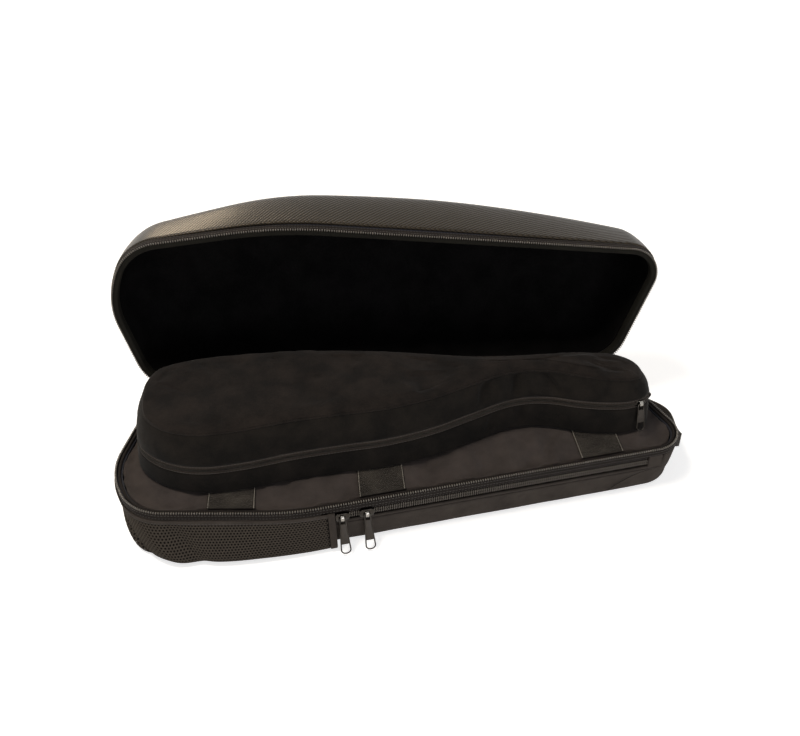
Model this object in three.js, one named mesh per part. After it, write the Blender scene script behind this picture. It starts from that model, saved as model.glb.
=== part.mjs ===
// A zippered violin case, standing open. All lengths are millimetres, +Z is up.
// +X runs along the lid hinge from the wide end to the narrow end, -Y is the front.
// The origin is the middle of the flat underside.
import * as THREE from 'three';

// Overall sizes of the case
const caseLength = 760;
const caseDepth = 250;
const baseHeight = 70;
const lidMiddleDepth = 115;
const lidEndDepth = 86;
const lidOpenDegrees = 94;

// Running gap between a piece and the one that it rests on
const seatGap = 0.3;

// Plan of the case, seen from above and walked against the clock from the hinge's left end.
// The shares are of the case's length and depth, measured from its middle.
const backLeftRadius = 71;
const leftRadius = 117;
const frontLeftRadius = 70;
const frontKneeRadius = 300;
const frontRightRadius = 45;
const backRightRadius = 60;
const planCorners = [
  { name: 'backLeft', xShare: -0.459, yShare: 0.5, radius: backLeftRadius, arcSteps: 6, edgeSteps: 1 },
  { name: 'left', xShare: -0.509, yShare: -0.104, radius: leftRadius, arcSteps: 3, edgeSteps: 1 },
  { name: 'frontLeft', xShare: -0.463, yShare: -0.436, radius: frontLeftRadius, arcSteps: 5, edgeSteps: 2 },
  { name: 'frontKnee', xShare: -0.197, yShare: -0.52, radius: frontKneeRadius, arcSteps: 3, edgeSteps: 8 },
  { name: 'frontRight', xShare: 0.518, yShare: -0.224, radius: frontRightRadius, arcSteps: 6, edgeSteps: 2 },
  { name: 'backRight', xShare: 0.434, yShare: 0.5, radius: backRightRadius, arcSteps: 5, edgeSteps: 10 },
];
const smallestCornerRadius = 8;
const cornerNamed = Object.fromEntries(planCorners.map((corner) => [corner.name, corner]));

// Base tray, its board and its lining
const bottomEdgeRadius = 12;
const bottomEdgeSteps = 3;
const trayWall = 6;
const trayFloor = 4;
const trayWallTop = 36;
const boardThickness = 3;
const boardMargin = 4;
const liningThickness = 1;
const liningGap = 0.8;

// How far the base's ends draw in from the rim band down to the floor
const leftTuck = 17;
const rightTuck = 10;
const tuckPower = 3;

// Upper wall of the base, behind the rim band
const sideFacingThickness = 1.8;
const rimBandThickness = 2.4;
const rimBandBottom = 58;
const rimBandTop = 66.2;
const upperWallThickness = 6.4;
const upperWallTop = 64;

// Main zip: half of it stands on the base's rim, the other half on the lid's
const zipMeetGap = 0.4;
const mainTeethHeight = 3;
const mainTeethThickness = 2.6;

// Padded panel over the base, its edge piping and the hook strips on it
const panelTop = 66;
const panelThickness = 8;
const panelEdgeRadius = 3;
const pipingRadius = 1.8;
const hookStripWidth = 60;
const hookStripThickness = 1.2;
const hookStripMargin = 5;
const hookStripShares = { left: -0.297, middle: -0.046, right: 0.345 };

// Front pocket zip, set back below the rim band on the straight front stretch
const pocketZipStart = 52;
const pocketZipEndMargin = 64.4;
const pocketZipHeight = 46.8;
const pocketZipInset = 4.2;
const pocketChainWidth = 7.6;
const pocketChainThickness = 2.6;
const pocketTapeThickness = 1;
const weltRadius = 2.1;

// Mesh side pocket on the front left, with its bound mouth
const meshThickness = 1.6;
const meshTop = 57.5;
const meshWallGap = 0.5;
const meshBulges = [[0, 2], [0.2, 7], [0.45, 27], [0.65, 24], [0.85, 12], [1, 9]];
const meshMouthBulge = 9;
const meshMouthGap = 0.9;
const meshFloor = 1.2;
const bindingWidth = 7;
const bindingThickness = 2.6;

// Webbing grab handle on the narrow end
const handleWidth = 24;
const handleThickness = 2.6;
const handleSpan = 104;
const handleBow = 16;
const handleShift = -9;
const handleHeight = 45;
const handleTabLength = 22;
const handleTabThickness = 2.2;
const handleSteps = 12;

// Fabric hinge along the back
const hingeLength = 500;
const hingeStripHeight = 30;
const hingeStripThickness = 1.2;
const hingeStripSetback = 5;

// Lid shell, foam, lining and rim
const lidShellThickness = 3;
const lidFoamThickness = 5;
const lidLayerGap = 0.8;
const lidShoulderRadius = 36;
const lidShoulderSteps = 4;
const lidCrownRun = 26;
const lidCrownRise = 3;
const lidSwell = 20;
const lidSwellTurn = 1.9;
const archPeakShare = 0.08;
const archLeftShare = 0.61;
const archRightShare = 0.47;
const archPower = 1.8;
const lidTuck = 20;
const lidEndBulge = 5;
const lidTuckPower = 5;
const lidFrontTuck = 10;
const lidFrontShiftShares = { frontKnee: 0.014, frontRight: -0.014 };
const lidWallShares = [0, 0.25, 0.5, 0.75, 1];
const lidBandTop = 15;
const lidBindingDepth = 7;
const lidBindingBottom = 1.2;
const lidBindingRoundShare = 0.25;

// Zip sliders and their pulls
const sliderLength = 19;
const sliderPlate = 1.8;
const sliderLip = 1.4;
const crownWidth = 5;
const crownThickness = 1.4;
const crownRise = 4.6;
const crownHalfSpan = 5;
const pullThickness = 2;
const pullBar = 1.8;
const pullHoleMargin = 2.6;
const pullCornerRadius = 3;
const largePull = {
  length: 49, topWidth: 9.6, bottomWidth: 14, eyeWidth: 6.2, eyeLength: 7.4, holeWidth: 8.6, holeLength: 9.5,
};
const mediumPull = {
  length: 41, topWidth: 9.6, bottomWidth: 14, eyeWidth: 6.2, eyeLength: 7.4, holeWidth: 8.6, holeLength: 9.5,
};
const smallPull = {
  length: 27, topWidth: 9.6, bottomWidth: 10, eyeWidth: 6.2, eyeLength: 7.4, holeWidth: 4, holeLength: 4.6,
};
const pullLeanDegrees = 24;
const leftSliderPlace = 62;
const rightSliderPlace = 94;

// Small sliders parked at the ends of the main zip, on the lid
const parkedSliderLength = 13;
const parkedSliderHeight = 8;
const parkedSliderThickness = 2.6;
const parkedSliderSag = 0.6;

// Violin pouch that stands on the panel.
// Its length and left end are shares of the case's length, its width and back of the case's depth.
// The outline's shares are of the pouch's length, from the left end, and of its width, from the back.
const pouchLengthShare = 0.908;
const pouchLeftShare = -0.4605;
const pouchWidthShare = 0.76;
const pouchBackShare = 0.432;
const pouchLength = pouchLengthShare * caseLength;
const pouchLeft = pouchLeftShare * caseLength;
const pouchWidth = pouchWidthShare * caseDepth;
const pouchBack = pouchBackShare * caseDepth;
const pouchCrown = 9;
const pouchSeamHeight = 81;
const pouchRightDrop = 9;
const pouchLeftDrop = 5;
const pouchDropPower = 4;
const pouchPadThickness = 6;
const pouchWall = 6;
const pouchZipLeftHeight = 34;
const pouchZipRightHeight = 47;
const pouchTapeHeight = 3.4;
const pouchTapeThickness = 1.4;
const pouchTeethHeight = 1.8;
const pouchTeethThickness = 2.4;
const pouchFootOut = 5;
const pouchTopIn = 12;
const pouchTopShift = 4;
const pouchTopThickness = 5;
const pouchCrownInset = 16;
const pouchSteps = 48;
const pouchOutlineShares = [
  [0.0, 0.47], [0.012, 0.7], [0.045, 0.85], [0.09, 0.945], [0.14, 0.985], [0.21, 0.97],
  [0.3, 0.915], [0.39, 0.88], [0.47, 0.855], [0.56, 0.78], [0.64, 0.665], [0.71, 0.565], [0.755, 0.54],
  [0.8, 0.56], [0.85, 0.625], [0.9, 0.67], [0.95, 0.68], [0.985, 0.63], [1.0, 0.5], [0.99, 0.36],
  [0.955, 0.26], [0.9, 0.225], [0.82, 0.22], [0.73, 0.22], [0.64, 0.19], [0.55, 0.12], [0.46, 0.06],
  [0.37, 0.02], [0.28, 0.0], [0.19, 0.0], [0.1, 0.02], [0.03, 0.1], [0.004, 0.26],
];
const pouchHingeFirstShare = 0.72;
const pouchHingeLastShare = 0.93;
const pouchHingeThickness = 1.6;

// Pouch slider on the straight part of the zip near the narrow end, and the webbing loop on that end
const pouchSliderLength = 13;
const pouchSliderHeight = 9;
const pouchSliderThickness = 2.2;
const pouchSliderBack = 0.5;
const pouchSliderPlace = 9;
const pouchPullLeanDegrees = 14;
const loopWidth = 15;
const loopThickness = 2;
const loopReach = 12;
const loopTop = 36;
const loopBottom = 9;
const loopSteps = 10;
const sliderFacetSteps = 2;

// Colours
const darkFabric = 0x3a3533;
const suede = 0x2f2a27;
const suedeDark = 0x1a1715;
const tapeColour = 0x2d2925;
const teethColour = 0x8d877e;
const velvet = 0x070707;
const vinyl = 0x3d3a33;
const chrome = 0xb9b7b2;
const foamColour = 0x24242a;
const boardColour = 0x4a4038;

const hingeY = caseDepth / 2;
const lidOpenAngle = THREE.MathUtils.degToRad(lidOpenDegrees);

// Geometry helpers

const cornersPerTriangle = 3;

// Builds one closed body from rings of equal count, walked against the clock seen from above.
// Each end is closed by a cap, or the last ring joins the first when the rings make a band.
function ringBody(rings, joined = false) {
  const count = rings[0].length;
  const positions = [];
  rings.forEach((ring) => ring.forEach((p) => positions.push(p.x, p.y, p.z)));
  const index = [];
  const links = joined ? rings.length : rings.length - 1;
  for (let r = 0; r < links; r += 1) {
    const lower = r * count;
    const upper = ((r + 1) % rings.length) * count;
    for (let i = 0; i < count; i += 1) {
      const j = (i + 1) % count;
      index.push(lower + i, lower + j, upper + j);
      index.push(lower + i, upper + j, upper + i);
    }
  }
  if (!joined) {
    index.push(...capTriangles(rings[0], 0, false));
    index.push(...capTriangles(rings[rings.length - 1], (rings.length - 1) * count, true));
  }
  return outwardGeometry(positions, index);
}

// Fills a ring by walking its front and its back side together from left to right,
// so that each triangle spans the ring from front to back.
function capTriangles(ring, offset, facingUp) {
  const count = ring.length;
  let left = 0;
  let right = 0;
  ring.forEach((p, i) => {
    if (p.x < ring[left].x) left = i;
    if (p.x > ring[right].x) right = i;
  });
  const front = [];
  for (let i = left; i !== right; i = (i + 1) % count) front.push(i);
  front.push(right);
  const back = [];
  for (let i = left; i !== right; i = (i + count - 1) % count) back.push(i);
  back.push(right);
  const triangles = [];
  let f = 0;
  let b = 0;
  while (f < front.length - 1 || b < back.length - 1) {
    const frontNext = f < front.length - 1 ? ring[front[f + 1]].x : Infinity;
    const backNext = b < back.length - 1 ? ring[back[b + 1]].x : Infinity;
    let triangle;
    if (frontNext <= backNext) {
      triangle = [front[f], front[f + 1], back[b]];
      f += 1;
    } else {
      triangle = [front[f], back[b + 1], back[b]];
      b += 1;
    }
    if (new Set(triangle).size < cornersPerTriangle) continue;
    if (!facingUp) triangle.reverse();
    triangles.push(...triangle.map((i) => i + offset));
  }
  return triangles;
}

// Builds one closed body from sections along a path, each a closed loop of points.
// Seen against the walking direction, a loop turns against the clock.
function pathBody(sections) {
  const count = sections[0].length;
  const positions = [];
  sections.forEach((section) => section.forEach((p) => positions.push(p.x, p.y, p.z)));
  const index = [];
  for (let s = 0; s < sections.length - 1; s += 1) {
    for (let i = 0; i < count; i += 1) {
      const j = (i + 1) % count;
      const a = s * count;
      const b = (s + 1) * count;
      index.push(a + i, a + j, b + j);
      index.push(a + i, b + j, b + i);
    }
  }
  const last = (sections.length - 1) * count;
  const cap = loopTriangles(sections[0]);
  cap.forEach(([i, j, k]) => {
    index.push(k, j, i);
  });
  loopTriangles(sections[sections.length - 1]).forEach(([i, j, k]) => {
    index.push(last + i, last + j, last + k);
  });
  return outwardGeometry(positions, index);
}

// Fills a flat loop, seen in the plane that it lies in.
function loopTriangles(loop) {
  const normal = new THREE.Vector3();
  loop.forEach((p, i) => {
    const q = loop[(i + 1) % loop.length];
    normal.add(new THREE.Vector3().crossVectors(p, q));
  });
  normal.normalize();
  const across = new THREE.Vector3().subVectors(loop[1], loop[0]).normalize();
  const up = new THREE.Vector3().crossVectors(normal, across);
  const flat = loop.map((p) => new THREE.Vector2(p.dot(across), p.dot(up)));
  return THREE.ShapeUtils.triangulateShape(flat, []);
}

// Turns all faces round when the closed body they make has its inside out.
function outwardGeometry(positions, index) {
  let volume = 0;
  const corner = (i) => new THREE.Vector3().fromArray(positions, cornersPerTriangle * i);
  for (let t = 0; t < index.length; t += cornersPerTriangle) {
    const a = corner(index[t]);
    volume += a.dot(corner(index[t + 1]).cross(corner(index[t + 2])));
  }
  if (volume < 0) index.reverse();
  const geometry = new THREE.BufferGeometry();
  geometry.setAttribute('position', new THREE.Float32BufferAttribute(positions, 3));
  geometry.setIndex(index);
  geometry.computeVertexNormals();
  return geometry;
}

function extruded(shape, depth) {
  return new THREE.ExtrudeGeometry(shape, { depth, bevelEnabled: false, curveSegments: 5 });
}

function mesh(name, geometry, colour, roughness, metalness = 0) {
  const material = new THREE.MeshStandardMaterial({ color: colour, roughness, metalness });
  const part = new THREE.Mesh(geometry, material);
  part.name = name;
  return part;
}

// Plan of the case

function planVertex(corner) {
  return new THREE.Vector2(corner.xShare * caseLength, corner.yShare * caseDepth);
}

// The lid's front edge runs a little straighter than the base's.
const lidCorners = planCorners.map((corner) => (
  { ...corner, yShare: corner.yShare + (lidFrontShiftShares[corner.name] ?? 0) }
));

// Direction of the plan's edge that follows a corner, and the same edge moved inwards.
function planEdge(i, inset, corners = planCorners) {
  const start = planVertex(corners[i]);
  const end = planVertex(corners[(i + 1) % corners.length]);
  const along = end.clone().sub(start).normalize();
  const inwards = new THREE.Vector2(-along.y, along.x);
  return { point: start.addScaledVector(inwards, inset), along };
}

function crossing(first, second) {
  const between = second.point.clone().sub(first.point);
  const share = between.cross(second.along) / first.along.cross(second.along);
  return first.point.clone().addScaledVector(first.along, share);
}

// Rounded plan outline, moved inwards by inset. Marks hold each corner's first and last point.
function planWithMarks(inset, fine, corners = planCorners) {
  const points = [];
  const marks = {};
  corners.forEach((corner, i) => {
    const before = planEdge((i + corners.length - 1) % corners.length, inset, corners);
    const after = planEdge(i, inset, corners);
    const vertex = crossing(before, after);
    const radius = Math.max(corner.radius - inset, smallestCornerRadius);
    const turn = Math.acos(before.along.dot(after.along));
    const start = vertex.clone().addScaledVector(before.along, -radius * Math.tan(turn / 2));
    const inwards = new THREE.Vector2(-before.along.y, before.along.x);
    const centre = start.clone().addScaledVector(inwards, radius);
    if (points.length && fine) splitEdge(points, start, corners[i - 1].edgeSteps);
    marks[corner.name] = { first: points.length, last: points.length + corner.arcSteps };
    for (let k = 0; k <= corner.arcSteps; k += 1) {
      points.push(start.clone().rotateAround(centre, (turn * k) / corner.arcSteps));
    }
  });
  if (fine) splitEdge(points, points[0], corners[corners.length - 1].edgeSteps);
  return { points, marks };
}

function splitEdge(points, end, steps) {
  const start = points[points.length - 1];
  for (let k = 1; k < steps; k += 1) points.push(start.clone().lerp(end, k / steps));
}

function planOutline(inset, corners = planCorners) {
  return planWithMarks(inset, false, corners).points;
}

function planRing(inset, height, corners = planCorners) {
  return planOutline(inset, corners).map((p) => new THREE.Vector3(p.x, p.y, height));
}

// Band all round the plan, from a section of insets and heights.
function planBand(section, corners = planCorners) {
  return ringBody(section.map(([inset, height]) => planRing(inset, height, corners)), true);
}

// The same section along part of the plan, from one of its points to another.
function planStrip(section, first, last, corners = planCorners) {
  const rings = section.map(([inset, height]) => planRing(inset, height, corners));
  const sections = [];
  for (let i = first; i <= last; i += 1) sections.push(rings.map((ring) => ring[i]));
  return pathBody(sections);
}

const planMarks = planWithMarks(0, false).marks;
const zipFirst = planMarks.backLeft.first;
const zipLast = planMarks.backRight.last;

function boxSection(nearInset, farInset, low, high) {
  return [[nearInset, low], [farInset, low], [farInset, high], [nearInset, high]];
}

// Draws the ends of a base piece in towards the floor.
function tucked(geometry) {
  const places = geometry.getAttribute('position');
  for (let i = 0; i < places.count; i += 1) {
    const share = (2 * places.getX(i)) / caseLength;
    const drop = Math.max(1 - places.getZ(i) / rimBandBottom, 0);
    const tuck = share < 0 ? leftTuck : rightTuck;
    places.setX(i, places.getX(i) - tuck * drop * share * Math.abs(share) ** (tuckPower - 1));
  }
  return geometry;
}

// Section of a rounded cord.
function cordSection(inset, height, radius, sides = 6) {
  return Array.from({ length: sides }, (_, k) => {
    const turn = (2 * Math.PI * k) / sides;
    return [inset - radius * Math.cos(turn), height + radius * Math.sin(turn)];
  });
}

const frontRun = planVertex(cornerNamed.frontRight).distanceTo(planVertex(cornerNamed.frontKnee));
const pocketZipEnd = frontRun - pocketZipEndMargin;

// Straight front stretch: a group whose x runs along it and whose -y points out of the case.
function frontGroup() {
  const knee = planVertex(cornerNamed.frontKnee);
  const end = planVertex(cornerNamed.frontRight);
  const group = new THREE.Group();
  group.position.set(knee.x, knee.y, 0);
  group.rotation.z = end.clone().sub(knee).angle();
  return group;
}

// Base

function baseTray() {
  const rings = [];
  for (let k = 0; k <= bottomEdgeSteps; k += 1) {
    const turn = (Math.PI / 2) * (k / bottomEdgeSteps);
    const inset = bottomEdgeRadius * (1 - Math.sin(turn));
    rings.push(planRing(inset, bottomEdgeRadius * (1 - Math.cos(turn))));
  }
  rings.push(planRing(0, trayWallTop));
  rings.push(planRing(trayWall, trayWallTop));
  rings.push(planRing(trayWall, bottomEdgeRadius));
  rings.push(planRing(bottomEdgeRadius, trayFloor));
  return mesh('base_tray', tucked(ringBody(rings)), darkFabric, 0.9);
}

const boardTop = trayFloor + seatGap + boardThickness;
const boardInset = bottomEdgeRadius + boardMargin;

function baseBoard() {
  const rings = [planRing(boardInset, trayFloor + seatGap), planRing(boardInset, boardTop)];
  return mesh('base_bottom_board', tucked(ringBody(rings)), boardColour, 0.8);
}

function baseLining() {
  const outer = trayWall + liningGap;
  const inner = outer + liningThickness;
  const low = boardTop + seatGap;
  const rings = [
    planRing(boardInset, low),
    planRing(outer, bottomEdgeRadius),
    planRing(outer, trayWallTop),
    planRing(inner, trayWallTop),
    planRing(inner, bottomEdgeRadius + liningThickness),
    planRing(boardInset + liningThickness, low + liningThickness),
  ];
  return mesh('base_lining', tucked(ringBody(rings)), suedeDark, 0.95);
}

function rimBand() {
  const section = boxSection(0, rimBandThickness, rimBandBottom, rimBandTop);
  return mesh('base_rim_band', planBand(section), darkFabric, 0.9);
}

const upperWallInset = rimBandThickness + seatGap;
const upperWallBottom = trayWallTop + seatGap;

// Part of the plan that leaves out the straight front stretch, where the pocket zip is.
function aroundStrip(section) {
  const rings = section.map(([inset, height]) => planRing(inset, height));
  const count = rings[0].length;
  const sections = [];
  for (let i = planMarks.frontRight.first + 1; i <= planMarks.frontKnee.last + count; i += 1) {
    sections.push(rings.map((ring) => ring[i % count]));
  }
  return pathBody(sections);
}

function upperWall() {
  const inner = upperWallInset + upperWallThickness;
  const section = [
    [upperWallInset, upperWallBottom],
    [inner, upperWallBottom],
    [inner, rimBandBottom],
    [inner, upperWallTop],
    [upperWallInset, upperWallTop],
    [upperWallInset, rimBandBottom],
  ];
  return mesh('base_upper_wall', tucked(aroundStrip(section)), darkFabric, 0.9);
}

// Fabric that shows between the tray and the rim band on the sides, the back and the front left.
function sideFacing() {
  const section = boxSection(0, sideFacingThickness, upperWallBottom, rimBandBottom - seatGap);
  return mesh('base_side_facing', tucked(aroundStrip(section)), darkFabric, 0.9);
}

function baseZipTeeth() {
  const middle = rimBandThickness / 2;
  const half = mainTeethThickness / 2;
  const section = boxSection(middle - half, middle + half, rimBandTop + seatGap, baseHeight - zipMeetGap);
  return mesh('base_zip_teeth', planStrip(section, zipFirst, zipLast), teethColour, 0.4, 0.5);
}

const panelInset = upperWallInset + upperWallThickness + seatGap;

function basePanel() {
  const low = panelTop - panelThickness;
  const rings = [
    planRing(panelInset, low),
    planRing(panelInset, panelTop - panelEdgeRadius),
    planRing(panelInset + panelEdgeRadius, panelTop),
  ];
  return mesh('base_panel', ringBody(rings), darkFabric, 0.9);
}

function panelPiping() {
  const inset = upperWallInset + upperWallThickness / 2;
  const height = upperWallTop + seatGap + pipingRadius;
  return mesh('base_panel_piping', planBand(cordSection(inset, height, pipingRadius)), darkFabric, 0.8);
}

// Lowest y of a closed outline at a given x, and its highest.
function outlineSpan(outline, x) {
  const hits = [];
  outline.forEach((p, i) => {
    const q = outline[(i + 1) % outline.length];
    if ((p.x - x) * (q.x - x) > 0 || p.x === q.x) return;
    hits.push(p.y + ((q.y - p.y) * (x - p.x)) / (q.x - p.x));
  });
  return [Math.min(...hits), Math.max(...hits)];
}

function hookStrip(name, share) {
  const centre = share * caseLength;
  const outline = planOutline(panelInset + hookStripMargin);
  const left = outlineSpan(outline, centre - hookStripWidth / 2);
  const right = outlineSpan(outline, centre + hookStripWidth / 2);
  const shape = new THREE.Shape([
    new THREE.Vector2(centre - hookStripWidth / 2, left[0]),
    new THREE.Vector2(centre + hookStripWidth / 2, right[0]),
    new THREE.Vector2(centre + hookStripWidth / 2, right[1]),
    new THREE.Vector2(centre - hookStripWidth / 2, left[1]),
  ]);
  const strip = mesh(`hook_strip_${name}`, extruded(shape, hookStripThickness), tapeColour, 1);
  strip.position.z = panelTop + seatGap;
  return strip;
}

// Front pocket zip, in the front stretch's own frame

// A straight prism along x, from a section of outward distances and heights.
function frontPrism(section, start, end) {
  const sectionAt = (x) => section.map(([inset, height]) => new THREE.Vector3(x, inset, height));
  return pathBody([sectionAt(start), sectionAt(end)]);
}

const chainLow = pocketZipHeight - pocketChainWidth / 2;
const chainHigh = pocketZipHeight + pocketChainWidth / 2;
const chainNear = pocketZipInset - pocketChainThickness;

function pocketZip() {
  const start = pocketZipStart;
  const end = pocketZipEnd;
  const tapeFar = pocketZipInset + seatGap + pocketTapeThickness;
  const tape = boxSection(pocketZipInset + seatGap, tapeFar, trayWallTop + seatGap, upperWallTop);
  const chain = boxSection(chainNear, pocketZipInset, chainLow, chainHigh);
  const weltHeight = trayWallTop + seatGap + weltRadius;
  const welt = cordSection(weltRadius, weltHeight, weltRadius);
  return [
    mesh('pocket_zip_tape', frontPrism(tape, start, end), tapeColour, 0.95),
    mesh('pocket_zip_chain', frontPrism(chain, start, end), teethColour, 0.5, 0.2),
    mesh('pocket_zip_welt', frontPrism(welt, start, end), tapeColour, 0.8),
  ];
}

// Stiff wall behind the pocket zip, which carries the panel's front edge
function frontStay() {
  const near = pocketZipInset + pocketTapeThickness + 2 * seatGap;
  const far = upperWallInset + upperWallThickness;
  const section = boxSection(near, far, rimBandBottom, upperWallTop);
  return mesh('base_front_stay', frontPrism(section, pocketZipStart, pocketZipEnd), darkFabric, 0.9);
}

// Zip sliders. The slider is a plate over the chain with a lip above and below it.
function frontSlider(side, place) {
  const near = chainNear - seatGap;
  const high = chainHigh + seatGap;
  const low = chainLow - seatGap;
  const back = pocketZipInset - seatGap;
  const section = [
    [near - sliderPlate, low - sliderLip],
    [back, low - sliderLip],
    [back, low],
    [near, low],
    [near, high],
    [back, high],
    [back, high + sliderLip],
    [near - sliderPlate, high + sliderLip],
  ];
  const half = sliderLength / 2;
  const body = frontPrism(section, place - half, place + half);
  return mesh(`front_slider_${side}`, body, chrome, 0.25, 1);
}

// Bridge over a slider that its pull hangs from. It stands out from a face that lies at y = 0
// and arches along z.
function crownGeometry() {
  const inner = crownHalfSpan - crownThickness;
  const foot = -seatGap;
  const top = foot - crownRise;
  const section = [
    [foot, -crownHalfSpan],
    [foot, -inner],
    [top + crownThickness, -inner + crownThickness],
    [top + crownThickness, inner - crownThickness],
    [foot, inner],
    [foot, crownHalfSpan],
    [top, crownHalfSpan - crownThickness],
    [top, -crownHalfSpan + crownThickness],
  ];
  return frontPrism(section, -crownWidth / 2, crownWidth / 2);
}

// Distance of a pull's bar from the slider's face
const pivotOut = seatGap + (crownRise - crownThickness) / 2;

// Pull that hangs in the x-y plane below its bar at the origin: an eye above, a squarish hole below.
function pullGeometry(pull) {
  const low = pullBar / 2 - pull.length;
  const high = pullBar / 2;
  const bottom = pull.bottomWidth / 2;
  const shape = new THREE.Shape();
  shape.moveTo(-pull.topWidth / 2, high);
  shape.lineTo(-bottom, low + pullCornerRadius);
  shape.quadraticCurveTo(-bottom, low, -bottom + pullCornerRadius, low);
  shape.lineTo(bottom - pullCornerRadius, low);
  shape.quadraticCurveTo(bottom, low, bottom, low + pullCornerRadius);
  shape.lineTo(pull.topWidth / 2, high);
  const eye = rectanglePath(-pullBar / 2 - pull.eyeLength / 2, pull.eyeWidth, pull.eyeLength);
  const hole = rectanglePath(low + pullHoleMargin + pull.holeLength / 2, pull.holeWidth, pull.holeLength);
  shape.holes.push(eye, hole);
  const geometry = extruded(shape, pullThickness);
  geometry.translate(0, 0, -pullThickness / 2);
  return geometry;
}

function rectanglePath(y, width, height) {
  return new THREE.Path([
    new THREE.Vector2(-width / 2, y - height / 2),
    new THREE.Vector2(-width / 2, y + height / 2),
    new THREE.Vector2(width / 2, y + height / 2),
    new THREE.Vector2(width / 2, y - height / 2),
  ]);
}

// Crown and pull in a slider's own frame: x along the zip, -y outwards, the slider's face at y = 0
function hangingPull(names, pull, leanDegrees) {
  const crown = mesh(names.crown, crownGeometry(), chrome, 0.2, 1);
  const geometry = pullGeometry(pull);
  geometry.rotateX(Math.PI / 2 - THREE.MathUtils.degToRad(leanDegrees));
  const plate = mesh(names.pull, geometry, chrome, 0.3, 1);
  plate.position.y = -pivotOut;
  const group = new THREE.Group();
  group.add(crown, plate);
  return group;
}

function frontPull(side, place) {
  const names = { crown: `front_slider_crown_${side}`, pull: `front_pull_${side}` };
  const group = hangingPull(names, largePull, pullLeanDegrees);
  group.position.set(place, chainNear - seatGap - sliderPlate, pocketZipHeight);
  return group;
}

// Mesh side pocket

// Walks the pocket's stretch of the plan: from the left side round the front left corner to its mouth.
function pocketStations() {
  const plan = planOutline(0);
  const outer = planOutline(-1);
  const first = planMarks.left.first + 1;
  const last = planMarks.frontKnee.last;
  const stations = [];
  for (let i = first; i <= last; i += 1) {
    stations.push({ point: plan[i], out: outer[i].clone().sub(plan[i]).normalize() });
  }
  const along = planEdge(planCorners.indexOf(cornerNamed.frontKnee), 0).along;
  const mouth = planVertex(cornerNamed.frontKnee).addScaledVector(along, pocketZipStart - bindingWidth);
  stations.push({ point: mouth, out: stations[stations.length - 1].out });
  let run = 0;
  stations.forEach((station, i) => {
    if (i) run += station.point.distanceTo(stations[i - 1].point);
    station.run = run;
  });
  stations.forEach((station) => {
    station.share = station.run / run;
  });
  return stations;
}

function bulgeAt(share) {
  const next = meshBulges.findIndex(([at]) => at >= share);
  if (next <= 0) return meshBulges[0][1];
  const [a, low] = meshBulges[next - 1];
  const [b, high] = meshBulges[next];
  return low + ((high - low) * (share - a)) / (b - a);
}

// Pocket section as shares of its height and its bulge, from the top edge down to the underside
const pocketSectionShares = [[1, 0], [0.8, 0.22], [0.55, 0.58], [0.3, 0.9], [0.12, 1], [0.03, 0.72], [0, 0.3]];

function pocketSection(station, bulge) {
  const rise = meshTop - meshFloor;
  const at = (out, height) => new THREE.Vector3(
    station.point.x + station.out.x * out,
    station.point.y + station.out.y * out,
    height,
  );
  const outside = pocketSectionShares.map(([heightShare, outShare]) => (
    at(meshWallGap + meshThickness + bulge * outShare, meshFloor + rise * heightShare)
  ));
  const inside = pocketSectionShares.map(([heightShare, outShare]) => (
    at(meshWallGap + bulge * outShare, Math.max(meshFloor + rise * heightShare, meshFloor + meshThickness))
  ));
  return [...outside, ...inside.reverse()];
}

function meshPocket() {
  const sections = pocketStations().map((station) => pocketSection(station, bulgeAt(station.share)));
  return mesh('mesh_pocket', tucked(pathBody(sections)), suede, 0.95);
}

// Bound edge of the pocket's mouth, in the front stretch's own frame
function meshBinding() {
  const run = pocketZipStart - bindingWidth + meshMouthGap;
  const rise = meshTop - meshFloor;
  const proud = (bindingThickness - meshThickness) / 2;
  const at = (out, height) => new THREE.Vector3(run, -out, height);
  const outside = pocketSectionShares.map(([heightShare, outShare]) => (
    at(meshWallGap + meshThickness + proud + meshMouthBulge * outShare, meshFloor + rise * heightShare)
  ));
  const insideFloor = meshFloor + bindingThickness;
  const inside = pocketSectionShares.map(([heightShare, outShare]) => (
    at(meshWallGap + meshMouthBulge * outShare, Math.max(meshFloor + rise * heightShare, insideFloor))
  ));
  const near = [...outside, ...inside.reverse()];
  const far = near.map((p) => p.clone().setX(p.x + bindingWidth));
  return mesh('mesh_pocket_binding', pathBody([near, far]), tapeColour, 0.9);
}

// Handle on the narrow end, in a frame whose x runs along that end and whose -y points out of it
function endGroup() {
  const start = planVertex(cornerNamed.frontRight);
  const end = planVertex(cornerNamed.backRight);
  const group = new THREE.Group();
  const along = end.clone().sub(start).normalize();
  group.position.set((start.x + end.x) / 2, (start.y + end.y) / 2, handleHeight);
  group.position.x += along.x * handleShift;
  group.position.y += along.y * handleShift;
  group.rotation.z = along.angle();
  return group;
}

function handleTab(name, place) {
  const shape = new THREE.Shape([
    new THREE.Vector2(place - handleTabLength / 2, -handleWidth / 2),
    new THREE.Vector2(place + handleTabLength / 2, -handleWidth / 2),
    new THREE.Vector2(place + handleTabLength / 2, handleWidth / 2),
    new THREE.Vector2(place - handleTabLength / 2, handleWidth / 2),
  ]);
  const geometry = extruded(shape, handleTabThickness);
  geometry.rotateX(Math.PI / 2);
  geometry.translate(0, -seatGap, 0);
  return mesh(`end_handle_tab_${name}`, geometry, tapeColour, 0.9);
}

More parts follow.
